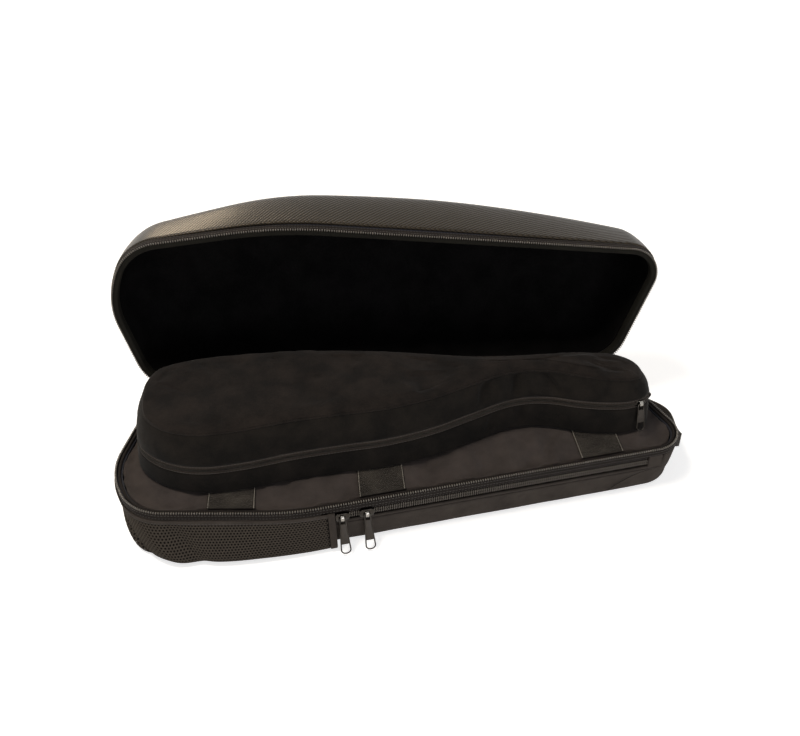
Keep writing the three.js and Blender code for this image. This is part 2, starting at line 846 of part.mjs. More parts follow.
// The strap bows out between its two ends, which lie flat on the tabs.
function endHandle() {
  const outside = [];
  const inside = [];
  const rest = handleTabThickness + 2 * seatGap;
  for (let k = 0; k <= handleSteps; k += 1) {
    const share = k / handleSteps;
    const x = (share - 1 / 2) * handleSpan;
    const bow = rest + handleBow * Math.sin(Math.PI * share) ** 2;
    inside.push(new THREE.Vector2(x, bow));
    outside.push(new THREE.Vector2(x, bow + handleThickness));
  }
  const geometry = extruded(new THREE.Shape([...inside, ...outside.reverse()]), handleWidth);
  geometry.translate(0, 0, -handleWidth / 2);
  geometry.rotateX(Math.PI);
  return mesh('end_handle_strap', geometry, tapeColour, 0.85);
}

// Halves of the fabric hinge: one on the base's back wall, one on the lid's
function hingeStrip(name, low, high, setback) {
  const shape = new THREE.Shape([
    new THREE.Vector2(-hingeLength / 2, low),
    new THREE.Vector2(hingeLength / 2, low),
    new THREE.Vector2(hingeLength / 2, high),
    new THREE.Vector2(-hingeLength / 2, high),
  ]);
  const geometry = extruded(shape, hingeStripThickness);
  geometry.rotateX(Math.PI / 2);
  geometry.translate(hingeShift, hingeY + setback + hingeStripThickness, 0);
  return mesh(name, geometry, darkFabric, 0.9);
}

const hingeShift = (planVertex(cornerNamed.backLeft).x + planVertex(cornerNamed.backRight).x) / 2;

const base = new THREE.Group();
base.add(baseTray(), baseBoard(), baseLining(), rimBand(), upperWall(), sideFacing());
base.add(baseZipTeeth(), basePanel(), panelPiping(), meshPocket());
base.add(hingeStrip('hinge_strip_base', baseHeight - hingeStripSetback - hingeStripHeight,
  baseHeight - hingeStripSetback, seatGap));
Object.entries(hookStripShares).forEach(([name, share]) => base.add(hookStrip(name, share)));

const front = frontGroup();
front.add(...pocketZip(), frontStay(), meshBinding());
Object.entries({ left: leftSliderPlace, right: rightSliderPlace }).forEach(([side, place]) => {
  front.add(frontSlider(side, place), frontPull(side, place));
});

const narrowEnd = endGroup();
narrowEnd.add(handleTab('front', -(handleSpan - handleTabLength) / 2));
narrowEnd.add(handleTab('back', (handleSpan - handleTabLength) / 2));
narrowEnd.add(endHandle());

// Lid, drawn shut over its own rim plane at height zero and then turned open about the hinge line

// How far along the arch a place lies: 1 at the highest place, 0 at the ends.
function archShare(x) {
  const run = x / caseLength - archPeakShare;
  const reach = run < 0 ? -run / archLeftShare : run / archRightShare;
  return 1 - Math.min(reach, 1) ** archPower;
}

// Ring of a lid skin that lies offset inside the outer face. The front swells out below the shoulder.
function lidRing(inset, offset, heightOf) {
  return planWithMarks(inset, true, lidCorners).points.map((p) => {
    const share = archShare(p.x);
    const depth = lidEndDepth + (lidMiddleDepth - lidEndDepth) * share;
    const height = heightOf(depth - offset);
    const rise = height / depth;
    const frontShare = (hingeY - p.y) / caseDepth;
    const swell = lidSwell * share * Math.sin(rise * lidSwellTurn) - lidFrontTuck * (1 - share) * rise;
    const endShare = (2 * p.x) / caseLength;
    const drawIn = lidTuck * rise ** 2 - lidEndBulge * Math.sin(Math.PI * rise);
    const tuck = drawIn * endShare * Math.abs(endShare) ** (lidTuckPower - 1);
    return new THREE.Vector3(p.x - tuck, p.y - frontShare * swell, height);
  });
}

// Rings of a lid skin from a start height up over the shoulder to the crown.
function lidSkin(offset, startHeight) {
  const radius = lidShoulderRadius - offset;
  const rings = lidWallShares.map((share) => (
    lidRing(offset, offset, (depth) => startHeight + share * (depth - radius - startHeight))
  ));
  for (let k = 1; k <= lidShoulderSteps; k += 1) {
    const turn = (Math.PI / 2) * (k / lidShoulderSteps);
    const inset = offset + radius * (1 - Math.cos(turn));
    rings.push(lidRing(inset, offset, (depth) => depth - radius * (1 - Math.sin(turn))));
  }
  rings.push(lidRing(lidShoulderRadius + lidCrownRun, offset, (depth) => depth + lidCrownRise));
  return rings;
}

function lidLayer(name, near, thickness, startHeight, colour, roughness) {
  const outer = lidSkin(near, startHeight);
  const inner = lidSkin(near + thickness, startHeight).reverse();
  return mesh(name, ringBody([...inner, ...outer]), colour, roughness);
}

function lidStrip(section) {
  return planStrip(section, zipFirst, zipLast, lidCorners);
}

const lidZipTop = zipMeetGap + mainTeethHeight;

function lidZipTeeth() {
  const middle = rimBandThickness / 2;
  const half = mainTeethThickness / 2;
  const section = boxSection(middle - half, middle + half, zipMeetGap, lidZipTop);
  return mesh('lid_zip_teeth', lidStrip(section), teethColour, 0.4, 0.5);
}

function lidRimBand() {
  const section = boxSection(0, rimBandThickness, lidZipTop + seatGap, lidBandTop - seatGap);
  return mesh('lid_rim_band', planBand(section, lidCorners), tapeColour, 0.9);
}

function lidBinding() {
  const near = rimBandThickness + seatGap;
  const far = near + lidBindingDepth;
  const high = lidBandTop - seatGap;
  const round = lidBindingDepth * lidBindingRoundShare;
  const section = [
    [near, lidBindingBottom],
    [far - round, lidBindingBottom],
    [far, lidBindingBottom + round],
    [far, high - round],
    [far - round, high],
    [near, high],
  ];
  return mesh('lid_rim_binding', planBand(section, lidCorners), darkFabric, 0.9);
}

// Slider parked at an end of the main zip, in a frame whose x runs along the rim and whose -y points out.
// Its pull hangs straight down while the lid stands open.
function parkedSlider(side, corner) {
  const outline = planOutline(0, lidCorners);
  const marks = planMarks[corner];
  const index = Math.round((marks.first + marks.last) / 2);
  const turn = outline[index + 1].clone().sub(outline[index - 1]).angle();
  const out = seatGap + (mainTeethThickness - rimBandThickness) / 2 + parkedSliderSag;
  const face = -out - parkedSliderThickness;
  const section = boxSection(-out, face, zipMeetGap, zipMeetGap + parkedSliderHeight);
  const half = parkedSliderLength / 2;
  const slider = mesh(`main_slider_${side}`, frontPrism(section, -half, half), chrome, 0.25, 1);
  const middle = zipMeetGap + parkedSliderHeight / 2;
  const crownShape = crownGeometry().rotateY(Math.PI / 2);
  const crown = mesh(`main_slider_crown_${side}`, crownShape, chrome, 0.2, 1);
  crown.position.set(0, face, middle);
  const pull = mesh(`main_pull_${side}`, pullGeometry(smallPull), chrome, 0.3, 1);
  pull.geometry.rotateY(-Math.PI / 2).rotateZ(Math.PI);
  pull.rotation.z = -turn;
  pull.position.set(0, face - pivotOut, middle);
  const group = new THREE.Group();
  group.position.set(outline[index].x, outline[index].y, 0);
  group.rotation.z = turn;
  group.add(slider, crown, pull);
  return group;
}

const lid = new THREE.Group();
lid.position.set(0, hingeY, baseHeight);
lid.rotation.x = -lidOpenAngle;
const lidShut = new THREE.Group();
lidShut.position.y = -hingeY;
lid.add(lidShut);
const foamOffset = lidShellThickness + lidLayerGap;
const liningOffset = foamOffset + lidFoamThickness + lidLayerGap;
lidShut.add(lidLayer('lid_shell', 0, lidShellThickness, lidBandTop, vinyl, 0.35));
lidShut.add(lidLayer('lid_foam', foamOffset, lidFoamThickness, lidBandTop, foamColour, 1));
lidShut.add(lidLayer('lid_lining', liningOffset, liningThickness, lidBandTop, velvet, 1));
lidShut.add(lidZipTeeth(), lidRimBand(), lidBinding());
lidShut.add(parkedSlider('left', 'backLeft'), parkedSlider('right', 'backRight'));
lidShut.add(hingeStrip('hinge_strip_lid', hingeStripSetback, hingeStripSetback + hingeStripHeight, seatGap));

// Violin pouch

// Smooth closed outline through the shares. Each point has its outward normal.
function pouchOutline() {
  const places = pouchOutlineShares.map(([along, across]) => (
    new THREE.Vector3(pouchLeft + along * pouchLength, pouchBack - across * pouchWidth, 0)
  ));
  const curve = new THREE.CatmullRomCurve3(places, true, 'centripetal');
  return Array.from({ length: pouchSteps }, (_, k) => {
    const point = curve.getPointAt(k / pouchSteps);
    const along = curve.getTangentAt(k / pouchSteps);
    return { x: point.x, y: point.y, out: new THREE.Vector2(along.y, -along.x) };
  });
}

const pouchPlan = pouchOutline();
const pouchFloor = panelTop + hookStripThickness + 2 * seatGap;

// The zip climbs a little from the wide end to the narrow end.
function pouchZipAt(x) {
  const share = (x - pouchLeft) / pouchLength;
  return pouchZipLeftHeight + (pouchZipRightHeight - pouchZipLeftHeight) * share;
}

// The top seam drops a little towards both ends.
function pouchSeamAt(x) {
  const share = (2 * (x - pouchLeft)) / pouchLength - 1;
  const drop = share < 0 ? pouchLeftDrop : pouchRightDrop;
  return pouchSeamHeight - drop * Math.abs(share) ** pouchDropPower;
}

// Ring of the pouch's outer face, moved inwards by inset. The face spreads towards the foot
// and draws in towards the top seam.
function pouchRing(heightOf, inset = 0) {
  return pouchPlan.map(({ x, y, out }) => {
    const zip = pouchZipAt(x);
    const seam = pouchSeamAt(x);
    const height = heightOf(zip, seam);
    const climb = Math.max((height - zip) / (seam - zip), 0);
    const foot = Math.max(1 - height / zip, 0);
    const grow = pouchFootOut * foot - pouchTopIn * climb ** 2 - inset;
    const shift = pouchTopShift * climb;
    return new THREE.Vector3(x + out.x * grow, y + out.y * grow + shift, pouchFloor + height);
  });
}

// Rings of a hollow wall between two heights, each given from the zip's own height.
function wallSection(lowOf, highOf, near, far, steps) {
  const outer = [];
  const inner = [];
  for (let k = 0; k <= steps; k += 1) {
    const heightOf = (zip, seam) => lowOf(zip) + ((highOf(zip, seam) - lowOf(zip)) * k) / steps;
    outer.push(pouchRing(heightOf, near));
    inner.push(pouchRing(heightOf, far));
  }
  return [...inner.reverse(), ...outer];
}

// Part of such a wall, along the outline from one of its points on to another.
function wallStrip(rings, first, last) {
  const sections = [];
  for (let i = first; i <= last; i += 1) sections.push(rings.map((ring) => ring[i % pouchSteps]));
  return pathBody(sections);
}

const hingeFirst = Math.round(pouchHingeFirstShare * pouchSteps);
const hingeLast = Math.round(pouchHingeLastShare * pouchSteps);
const zipReach = pouchTeethHeight + pouchTapeHeight + 2 * seatGap;

function pouchPad() {
  const rings = [
    pouchRing(() => 0, pouchPadThickness / 2),
    pouchRing(() => pouchPadThickness / 2),
    pouchRing(() => pouchPadThickness),
  ];
  return mesh('pouch_bottom_pad', ringBody(rings), suedeDark, 0.95);
}

function pouchLowerGusset() {
  const rings = wallSection(() => pouchPadThickness + seatGap, (zip) => zip - zipReach, 0, pouchWall, 2);
  return mesh('pouch_lower_gusset', ringBody(rings, true), suedeDark, 0.95);
}

function pouchUpperGusset() {
  const rings = wallSection((zip) => zip + zipReach, (zip, seam) => seam, 0, pouchWall, 3);
  return mesh('pouch_upper_gusset', ringBody(rings, true), suedeDark, 0.95);
}

// Tape and teeth of one half of the zip. The zip leaves out the stretch where the flap is hinged.
function pouchZipHalf(side, sign) {
  const level = (from) => (zip) => zip + sign * from;
  const teethFar = pouchTeethHeight;
  const tapeNear = teethFar + seatGap / 2;
  const tapeFar = tapeNear + pouchTapeHeight;
  const proud = (pouchTeethThickness - pouchTapeThickness) / 2;
  const tape = wallSection(level(tapeNear), level(tapeFar), 0, pouchTapeThickness, 1);
  const teeth = wallSection(level(seatGap / 2), level(teethFar), -proud, pouchTapeThickness + proud, 1);
  const first = hingeLast + 1;
  const last = hingeFirst - 1 + pouchSteps;
  return [
    mesh(`pouch_zip_tape_${side}`, wallStrip(tape, first, last), tapeColour, 0.95),
    mesh(`pouch_zip_teeth_${side}`, wallStrip(teeth, first, last), teethColour, 0.5, 0.2),
  ];
}

// Fabric hinge of the flap, which stands on the lower gusset
function pouchHinge() {
  const rings = wallSection((zip) => zip - zipReach + seatGap, (zip) => zip, 0, pouchHingeThickness, 1);
  return mesh('pouch_flap_hinge', wallStrip(rings, hingeFirst, hingeLast), suedeDark, 0.95);
}

function pouchTopPanel() {
  const raised = (inset, lift) => pouchRing((zip, seam) => seam, inset).map((p) => p.setZ(p.z + lift));
  const rings = [
    raised(0, seatGap),
    raised(0, seatGap + pouchTopThickness / 2),
    raised(pouchTopThickness, seatGap + pouchTopThickness),
    raised(pouchCrownInset, pouchCrown),
  ];
  return mesh('pouch_top_panel', ringBody(rings), suede, 0.95);
}

// Frame of one flat facet of the pouch's wall: x along it, -y outwards, z from the pouch's floor
function facetGroup(index) {
  const from = pouchPlan[index];
  const to = pouchPlan[(index + 1) % pouchSteps];
  const group = new THREE.Group();
  group.position.set((from.x + to.x) / 2, (from.y + to.y) / 2, pouchFloor);
  group.rotation.z = Math.atan2(to.y - from.y, to.x - from.x);
  return group;
}

// The facet that reaches furthest towards the narrow end
const facetReach = (index) => pouchPlan[index].x + pouchPlan[(index + 1) % pouchSteps].x;
const tipFacet = pouchPlan.reduce((best, _, i) => (facetReach(i) > facetReach(best) ? i : best), 0);

function pouchSlider() {
  const group = facetGroup(tipFacet - sliderFacetSteps);
  const middle = pouchZipAt(group.position.x + pouchSliderPlace);
  const near = -(pouchTeethThickness - pouchTapeThickness) / 2 - pouchSliderBack;
  const face = near - pouchSliderThickness;
  const half = pouchSliderLength / 2;
  const low = middle - pouchSliderHeight / 2;
  const section = boxSection(near, face, low, low + pouchSliderHeight);
  const names = { crown: 'pouch_slider_crown', pull: 'pouch_pull' };
  const pull = hangingPull(names, mediumPull, pouchPullLeanDegrees);
  pull.position.set(pouchSliderPlace, face, middle);
  const body = frontPrism(section, pouchSliderPlace - half, pouchSliderPlace + half);
  group.add(mesh('pouch_slider', body, chrome, 0.25, 1), pull);
  return group;
}

// Webbing loop that bows out of the narrow end, its two ends lying on the lower gusset
function pouchLoop() {
  const group = facetGroup(tipFacet);
  const zip = pouchZipAt(group.position.x);
  const inside = [];
  const outside = [];
  for (let k = 0; k <= loopSteps; k += 1) {
    const share = k / loopSteps;
    const height = loopBottom + (loopTop - loopBottom) * share;
    const wall = pouchFootOut * (1 - height / zip) + seatGap;
    const out = wall + loopReach * Math.sin(Math.PI * share) ** 2;
    inside.push(new THREE.Vector3(0, -out, height));
    outside.push(new THREE.Vector3(0, -out - loopThickness, height));
  }
  const near = [...inside, ...outside.reverse()];
  const shifted = (x) => near.map((p) => p.clone().setX(x));
  const band = pathBody([shifted(-loopWidth / 2), shifted(loopWidth / 2)]);
  group.add(mesh('pouch_loop', band, tapeColour, 0.85));
  return group;
}

const pouchBase = new THREE.Group();
pouchBase.add(pouchPad(), pouchLowerGusset(), pouchHinge(), ...pouchZipHalf('lower', -1), pouchLoop());
const pouchFlap = new THREE.Group();
pouchFlap.add(pouchUpperGusset(), pouchTopPanel(), ...pouchZipHalf('upper', 1));

const model = new THREE.Group();
model.add(base, front, narrowEnd, lid, pouchBase, pouchFlap, pouchSlider());

export default model;
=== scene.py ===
# A zippered violin case, standing open, dressed in its cloth, zips, vinyl and metal.
# Sizes are named in millimetres, and every mesh is written in metres.
# +X runs along the lid hinge to the narrow end, -Y is the front, +Z is up.
import math

import bpy
import numpy as np
from mathutils import Matrix, Vector, noise


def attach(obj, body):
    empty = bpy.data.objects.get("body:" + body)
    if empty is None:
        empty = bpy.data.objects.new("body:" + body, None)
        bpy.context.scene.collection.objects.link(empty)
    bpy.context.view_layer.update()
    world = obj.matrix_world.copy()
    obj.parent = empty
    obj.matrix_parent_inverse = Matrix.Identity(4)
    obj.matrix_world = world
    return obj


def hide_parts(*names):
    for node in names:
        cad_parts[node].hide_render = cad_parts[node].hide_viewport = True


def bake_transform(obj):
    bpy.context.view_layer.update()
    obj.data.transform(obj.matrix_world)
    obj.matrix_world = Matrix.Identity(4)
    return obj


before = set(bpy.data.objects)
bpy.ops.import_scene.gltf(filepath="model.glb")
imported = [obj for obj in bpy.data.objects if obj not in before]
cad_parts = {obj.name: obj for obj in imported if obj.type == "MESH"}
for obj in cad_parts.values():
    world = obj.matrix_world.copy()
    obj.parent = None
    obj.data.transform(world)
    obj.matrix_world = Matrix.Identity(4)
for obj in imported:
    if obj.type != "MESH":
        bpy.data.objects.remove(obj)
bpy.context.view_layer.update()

MM = 0.001

# Plan of the case: share along, share across, corner radius, steps round the corner,
# steps along the edge that follows
CASE_LENGTH = 760
CASE_DEPTH = 250
PLAN_CORNERS = {
    "back_left": (-0.459, 0.5, 71, 16, 6),
    "left": (-0.509, -0.104, 117, 10, 10),
    "front_left": (-0.463, -0.436, 70, 14, 12),
    "front_knee": (-0.197, -0.52, 300, 8, 70),
    "front_right": (0.518, -0.224, 45, 16, 24),
    "back_right": (0.434, 0.5, 60, 14, 80),
}
SMALLEST_RADIUS = 8
# The lid's soft rim runs more evenly past the knee than the base's
LID_KNEE_RADIUS = 620
LID_FRONT_SHIFT = {"front_knee": 0.014, "front_right": -0.014}
LEFT_TUCK = 17
RIGHT_TUCK = 10
TUCK_POWER = 3

# Heights of the base
RIM_HEIGHT = 70
BOTTOM_RADIUS = 12
TRAY_WALL = 6
TRAY_FLOOR = 4
TRAY_TOP = 36
RIM_BAND = (58, 66.2)
RIM_BAND_THICKNESS = 2.4
FACING_THICKNESS = 1.8
PANEL_TOP = 66
PANEL_THICKNESS = 8
PANEL_INSET = 9.4
PIPING = (5.9, 66.1, 1.8)
GAP = 0.3

# Lid, drawn shut
LID_OPEN = math.radians(94)
LID_MIDDLE_DEPTH = 115
LID_END_DEPTH = 86
SHOULDER_RADIUS = 36
CROWN_RUN = 26
CROWN_RISE = 3
LID_SWELL = 20
SWELL_TURN = 1.9
ARCH_PEAK = 0.08
ARCH_LEFT = 0.61
ARCH_RIGHT = 0.47
ARCH_POWER = 1.8
LID_TUCK = 20
END_BULGE = 5
FRONT_TUCK = 10
LID_BAND_TOP = 15
SHELL_THICKNESS = 3
FOAM_OFFSET = 3.8
FOAM_THICKNESS = 5
LINING_OFFSET = 9.6
LINING_THICKNESS = 1

# Pouch
POUCH_LENGTH = 0.908 * CASE_LENGTH
POUCH_LEFT = -0.4605 * CASE_LENGTH
POUCH_WIDTH = 0.76 * CASE_DEPTH
POUCH_BACK = 0.432 * CASE_DEPTH
POUCH_FLOOR = 67.8
POUCH_SEAM = 81
POUCH_DROPS = (5, 9)
ZIP_HEIGHTS = (34, 47)
ZIP_REACH = 5.8
POUCH_OUTLINE = [
    (0.0, 0.47), (0.012, 0.7), (0.045, 0.85), (0.09, 0.945), (0.14, 0.985), (0.21, 0.97),
    (0.3, 0.915), (0.39, 0.88), (0.47, 0.855), (0.56, 0.78), (0.64, 0.665), (0.71, 0.565),
    (0.755, 0.54), (0.8, 0.56), (0.85, 0.625), (0.9, 0.67), (0.95, 0.68), (0.985, 0.63),
    (1.0, 0.5), (0.99, 0.36), (0.955, 0.26), (0.9, 0.225), (0.82, 0.22), (0.73, 0.22),
    (0.64, 0.19), (0.55, 0.12), (0.46, 0.06), (0.37, 0.02), (0.28, 0.0), (0.19, 0.0),
    (0.1, 0.02), (0.03, 0.1), (0.004, 0.26),
]
POUCH_COLUMNS = 528

# Camera and light

# The camera was placed by laying the case's two zip lines over the photograph
CAMERA_PLACE = (-87, -920.7, 879.5)
CAMERA_FORWARD = (0.0736, 0.7962, -0.6006)
CAMERA_UP = (0.0641, 0.5972, 0.7995)
FOCAL_LENGTH = 40.5
SENSOR_WIDTH = 36


def make_camera():
    """The photograph's view: from the front, above and a little to the left."""
    camera = bpy.data.cameras.new("camera")
    camera.lens = FOCAL_LENGTH
    camera.sensor_width = SENSOR_WIDTH
    seat = bpy.data.objects.new("camera", camera)
    bpy.context.scene.collection.objects.link(seat)
    forward = Vector(CAMERA_FORWARD).normalized()
    up = Vector(CAMERA_UP)
    right = forward.cross(up).normalized()
    up = right.cross(forward)
    turn = Matrix((right, up, -forward)).transposed()
    seat.matrix_world = Matrix.Translation(Vector(CAMERA_PLACE) * MM) @ turn.to_4x4()
    bpy.context.scene.camera = seat


def make_lamp(name, place, target, width, strength, colour):
    lamp = bpy.data.lights.new(name, "AREA")
    lamp.shape = "RECTANGLE"
    lamp.size = width
    lamp.size_y = width * 0.7
    lamp.energy = strength
    lamp.color = linear(colour)[:3]
    seat = bpy.data.objects.new(name, lamp)
    bpy.context.scene.collection.objects.link(seat)
    seat.location = place
    aim = Vector(target) - Vector(place)
    seat.rotation_mode = "QUATERNION"
    seat.rotation_quaternion = aim.to_track_quat("-Z", "Y")


# Nodes


def linear(colour):
    """Linear red, green, blue and alpha of an sRGB hex colour."""
    shares = [int(colour[i:i + 2], 16) / 255 for i in (1, 3, 5)]
    return [s / 12.92 if s <= 0.04045 else ((s + 0.055) / 1.055) ** 2.4 for s in shares] + [1]


def add(tree, kind, inputs=(), **settings):
    """Adds a node with its settings. An input is a value or the output that feeds it."""
    made = tree.nodes.new(kind)
    for key, value in settings.items():
        setattr(made, key, value)
    for key, value in dict(inputs).items():
        if isinstance(value, bpy.types.NodeSocket):
            tree.links.new(value, made.inputs[key])
        else:
            made.inputs[key].default_value = value
    return made


def new_finish(name, **sockets):
    """A material whose shader's own sockets are set, such as Sheen_Weight=0.3."""
    material = bpy.data.materials.new(name)
    material.use_nodes = True
    tree = material.node_tree
    shader = tree.nodes["Principled BSDF"]
    for key, value in sockets.items():
        shader.inputs[key.replace("_", " ")].default_value = value
    return material, tree, shader


def colour_by(tree, shader, share, dark, light):
    mixed = add(tree, "ShaderNodeMix", {0: share, 6: linear(dark), 7: linear(light)}, data_type="RGBA")
    tree.links.new(mixed.outputs[2], shader.inputs["Base Color"])


def relief(tree, shader, height, depth):
    """Relief of a height from 0 to 1 that is depth millimetres deep."""
    bump = add(tree, "ShaderNodeBump", {"Height": height, "Distance": depth * MM, "Strength": 1})
    tree.links.new(bump.outputs[0], shader.inputs["Normal"])


def weave(tree, place, spacing):
    """Height of a plain weave whose threads lie spacing millimetres apart."""
    cells = add(tree, "ShaderNodeVectorMath", {0: place, "Scale": 1 / (spacing * MM)}, operation="SCALE")
    over = add(tree, "ShaderNodeTexChecker", {"Vector": cells.outputs[0], "Scale": 1})
    split = add(tree, "ShaderNodeSeparateXYZ", {0: cells.outputs[0]})
    threads = []
    for axis in (0, 1):
        turn = add(tree, "ShaderNodeMath", {0: split.outputs[axis], 1: math.pi}, operation="MULTIPLY")
        wave = add(tree, "ShaderNodeMath", {0: turn.outputs[0]}, operation="SINE")
        threads.append(add(tree, "ShaderNodeMath", {0: wave.outputs[0]}, operation="ABSOLUTE").outputs[0])
    inputs = {0: over.outputs["Fac"], 2: threads[0], 3: threads[1]}
    return add(tree, "ShaderNodeMix", inputs, data_type="FLOAT").outputs[0]


def cloud(tree, place, size, detail=3):
    """Soft patches about size millimetres wide, from 0 to 1."""
    inputs = {"Vector": place, "Scale": 1 / (size * MM), "Detail": detail, "Roughness": 0.6}
    return add(tree, "ShaderNodeTexNoise", inputs).outputs["Fac"]


def both(tree, first, second, share):
    """Two heights mixed: the second has the given share."""
    return add(tree, "ShaderNodeMix", {0: share, 2: first, 3: second}, data_type="FLOAT").outputs[0]


def steeper(tree, value, low, high):
    """Spreads the values from low to high over 0 to 1."""
    return add(tree, "ShaderNodeMapRange", {"Value": value, "From Min": low, "From Max": high}).outputs[0]


# Sizes in millimetres and shares of what lies over the threads of a cloth
WEAR_PATCH = 38
WEAR_SHARE = 0.45
FUZZ = 1.4
FUZZ_SHARE = 0.45
FUZZ_RELIEF = 0.35
NAP_PATCH = 36
NAP_SHARE = 0.42


def woven_finish(name, dark, light, spacing, depth, coordinates="UV", stretch=(1, 1, 1), **sockets):
    """Woven cloth: threads, with patches of wear and dust on them."""
    material, tree, shader = new_finish(name, **sockets)
    place = add(tree, "ShaderNodeTexCoord").outputs[coordinates]
    threads = add(tree, "ShaderNodeVectorMath", {0: place, 1: stretch}, operation="MULTIPLY").outputs[0]
    cloth = weave(tree, threads, spacing)
    patches = steeper(tree, cloud(tree, place, WEAR_PATCH), 0.3, 0.75)
    fuzz = cloud(tree, place, FUZZ, 5)
    fuzzy = both(tree, cloth, fuzz, FUZZ_SHARE)
    colour_by(tree, shader, both(tree, fuzzy, patches, WEAR_SHARE), dark, light)
    relief(tree, shader, both(tree, cloth, fuzz, FUZZ_RELIEF), depth)
    return material


def nap_finish(name, dark, light, grain, depth, **sockets):
    """Brushed cloth: a short nap that lies in soft patches, without visible threads."""
    material, tree, shader = new_finish(name, **sockets)
    place = add(tree, "ShaderNodeTexCoord").outputs["Object"]
    patches = steeper(tree, cloud(tree, place, NAP_PATCH, 5), 0.38, 0.64)
    nap = steeper(tree, cloud(tree, place, grain, 6), 0.3, 0.7)
    colour_by(tree, shader, both(tree, patches, nap, NAP_SHARE), dark, light)
    relief(tree, shader, nap, depth)
    return material


def moulded_finish(name, dark, light, grain, depth, **sockets):
    """Moulded or plated surface with faint marks of handling."""
    material, tree, shader = new_finish(name, **sockets)
    place = add(tree, "ShaderNodeTexCoord").outputs["Object"]
    marks = cloud(tree, place, grain, 5)
    colour_by(tree, shader, marks, dark, light)
    roughness = sockets.get("Roughness", 0.4)
    inputs = {"Value": marks, "To Min": roughness * 0.75, "To Max": roughness * 1.35}
    worn = add(tree, "ShaderNodeMapRange", inputs)
    tree.links.new(worn.outputs[0], shader.inputs["Roughness"])
    relief(tree, shader, marks, depth)
    return material


# The ribs are drawn half as coarse again as real ones, so that they show
VINYL_RIB = 4.6
VINYL_RELIEF = 1.3
VINYL_PATCH = 60
VINYL_PATCH_SHARE = 0.12


def twill_vinyl():
    """Embossed PVC over cloth: diagonal ribs in relief under a clear gloss."""
    material, tree, shader = new_finish(
        "pvc_twill_embossed", Roughness=0.34, Coat_Weight=0.08, Coat_Roughness=0.25, Specular_IOR_Level=0.24,
        Specular_Tint=linear("#ffe6c4"))
    place = add(tree, "ShaderNodeTexCoord").outputs["UV"]
    split = add(tree, "ShaderNodeSeparateXYZ", {0: place})
    across, along = split.outputs[:2]
    lean = add(tree, "ShaderNodeMath", {0: across, 1: along}, operation="SUBTRACT").outputs[0]
    pitch = VINYL_RIB * MM * math.sqrt(2)
    turn = add(tree, "ShaderNodeMath", {0: lean, 1: math.pi / pitch}, operation="MULTIPLY").outputs[0]
    wave = add(tree, "ShaderNodeMath", {0: turn}, operation="SINE").outputs[0]
    ribs = add(tree, "ShaderNodeMath", {0: wave}, operation="ABSOLUTE").outputs[0]
    height = steeper(tree, ribs, 0.25, 0.75)
    patches = steeper(tree, cloud(tree, place, VINYL_PATCH), 0.3, 0.75)
    # The ribs' grooves are painted dark and their crests light: painted shade in the grooves and painted
    # highlight on the crests, over the relief.
    colour_by(tree, shader, both(tree, height, patches, VINYL_PATCH_SHARE), "#040303", "#352f26")
    relief(tree, shader, height, VINYL_RELIEF)
    return material


make_camera()

# Cloth hardly mirrors: its threads scatter the light
DULL = 0.12

# Woven 600-denier nylon: matt, with its threads just showing. They are drawn twice as coarse as real ones.
canvas = woven_finish("nylon_canvas_woven", "#2a2623", "#544d47", spacing=1.1, depth=0.28,
                      Roughness=0.85, Specular_IOR_Level=DULL)
# Plain-woven lining cloth over the padded panel: softer and greyer than the canvas.
panel_cloth = woven_finish("polyester_lining_woven", "#272321", "#514945", spacing=1.0, depth=0.2,
                           coordinates="Object", Roughness=0.9, Sheen_Weight=0.05, Specular_IOR_Level=DULL)
# Brushed polyester suede: a short warm nap that lies in patches.
suede = nap_finish("polyester_suede_brushed", "#0e0c0a", "#2a2420", grain=1.6, depth=0.16,
                   Roughness=0.95, Sheen_Weight=0.06, Specular_IOR_Level=DULL)
# The pouch's sides: the same cloth, smoother, and painted darker than the top as shade.
suede_painted_shade = nap_finish("polyester_suede_painted_shade", "#070605", "#211d19", grain=1.3, depth=0.14,
                        Roughness=0.9, Sheen_Weight=0.03, Specular_IOR_Level=DULL)
# Cotton velvet: almost black, because its pile takes in the light.
velvet = nap_finish("cotton_velvet_cut_pile", "#0a0a0a", "#161515", grain=2.2, depth=0.15,
                    Roughness=1.0, Specular_IOR_Level=0.02)
vinyl = twill_vinyl()
# Grosgrain binding: ribbed tape in a worn olive grey.
binding_tape = woven_finish("polyester_grosgrain_tape", "#0d0c0a", "#24221c", spacing=1.2, depth=0.3,
                            stretch=(1, 0.3, 1), Roughness=0.85, Specular_IOR_Level=DULL)
# Zip tape: fine polyester, close and flat. Its threads are drawn coarser than real ones.
zip_tape = woven_finish("polyester_zip_tape", "#14110f", "#2f2a27", spacing=0.9, depth=0.16,
                        stretch=(1, 0.5, 1), Roughness=0.85, Specular_IOR_Level=DULL)
# The pouch's tape, worn paler at the folds.
worn_tape = woven_finish("polyester_tape_worn", "#211d1a", "#443d37", spacing=0.9, depth=0.16,
                         stretch=(1, 0.5, 1), Roughness=0.85, Specular_IOR_Level=DULL)
# Nylon webbing: thick warp threads side by side, with a slight gloss.
webbing = woven_finish("nylon_webbing", "#1b1815", "#4a433c", spacing=1.5, depth=0.5,
                       stretch=(0.55, 1, 1), Roughness=0.6, Specular_IOR_Level=0.3)
# Hook tape: nylon hooks in rows on a coarse ground, matt and grainy.
hook_tape = nap_finish("nylon_hook_tape", "#12100e", "#4b4640", grain=1.1, depth=0.6,
                       Roughness=0.8, Specular_IOR_Level=DULL)
# Moulded acetal teeth: grey, half glossy.
acetal = moulded_finish("acetal_teeth_moulded", "#403c36", "#857d72", grain=5, depth=0.05, Roughness=0.2)
# Nylon coil: grey monofilament with a soft gloss.
coil = moulded_finish("nylon_coil_wound", "#4f4943", "#847c71", grain=4, depth=0.03, Roughness=0.4)
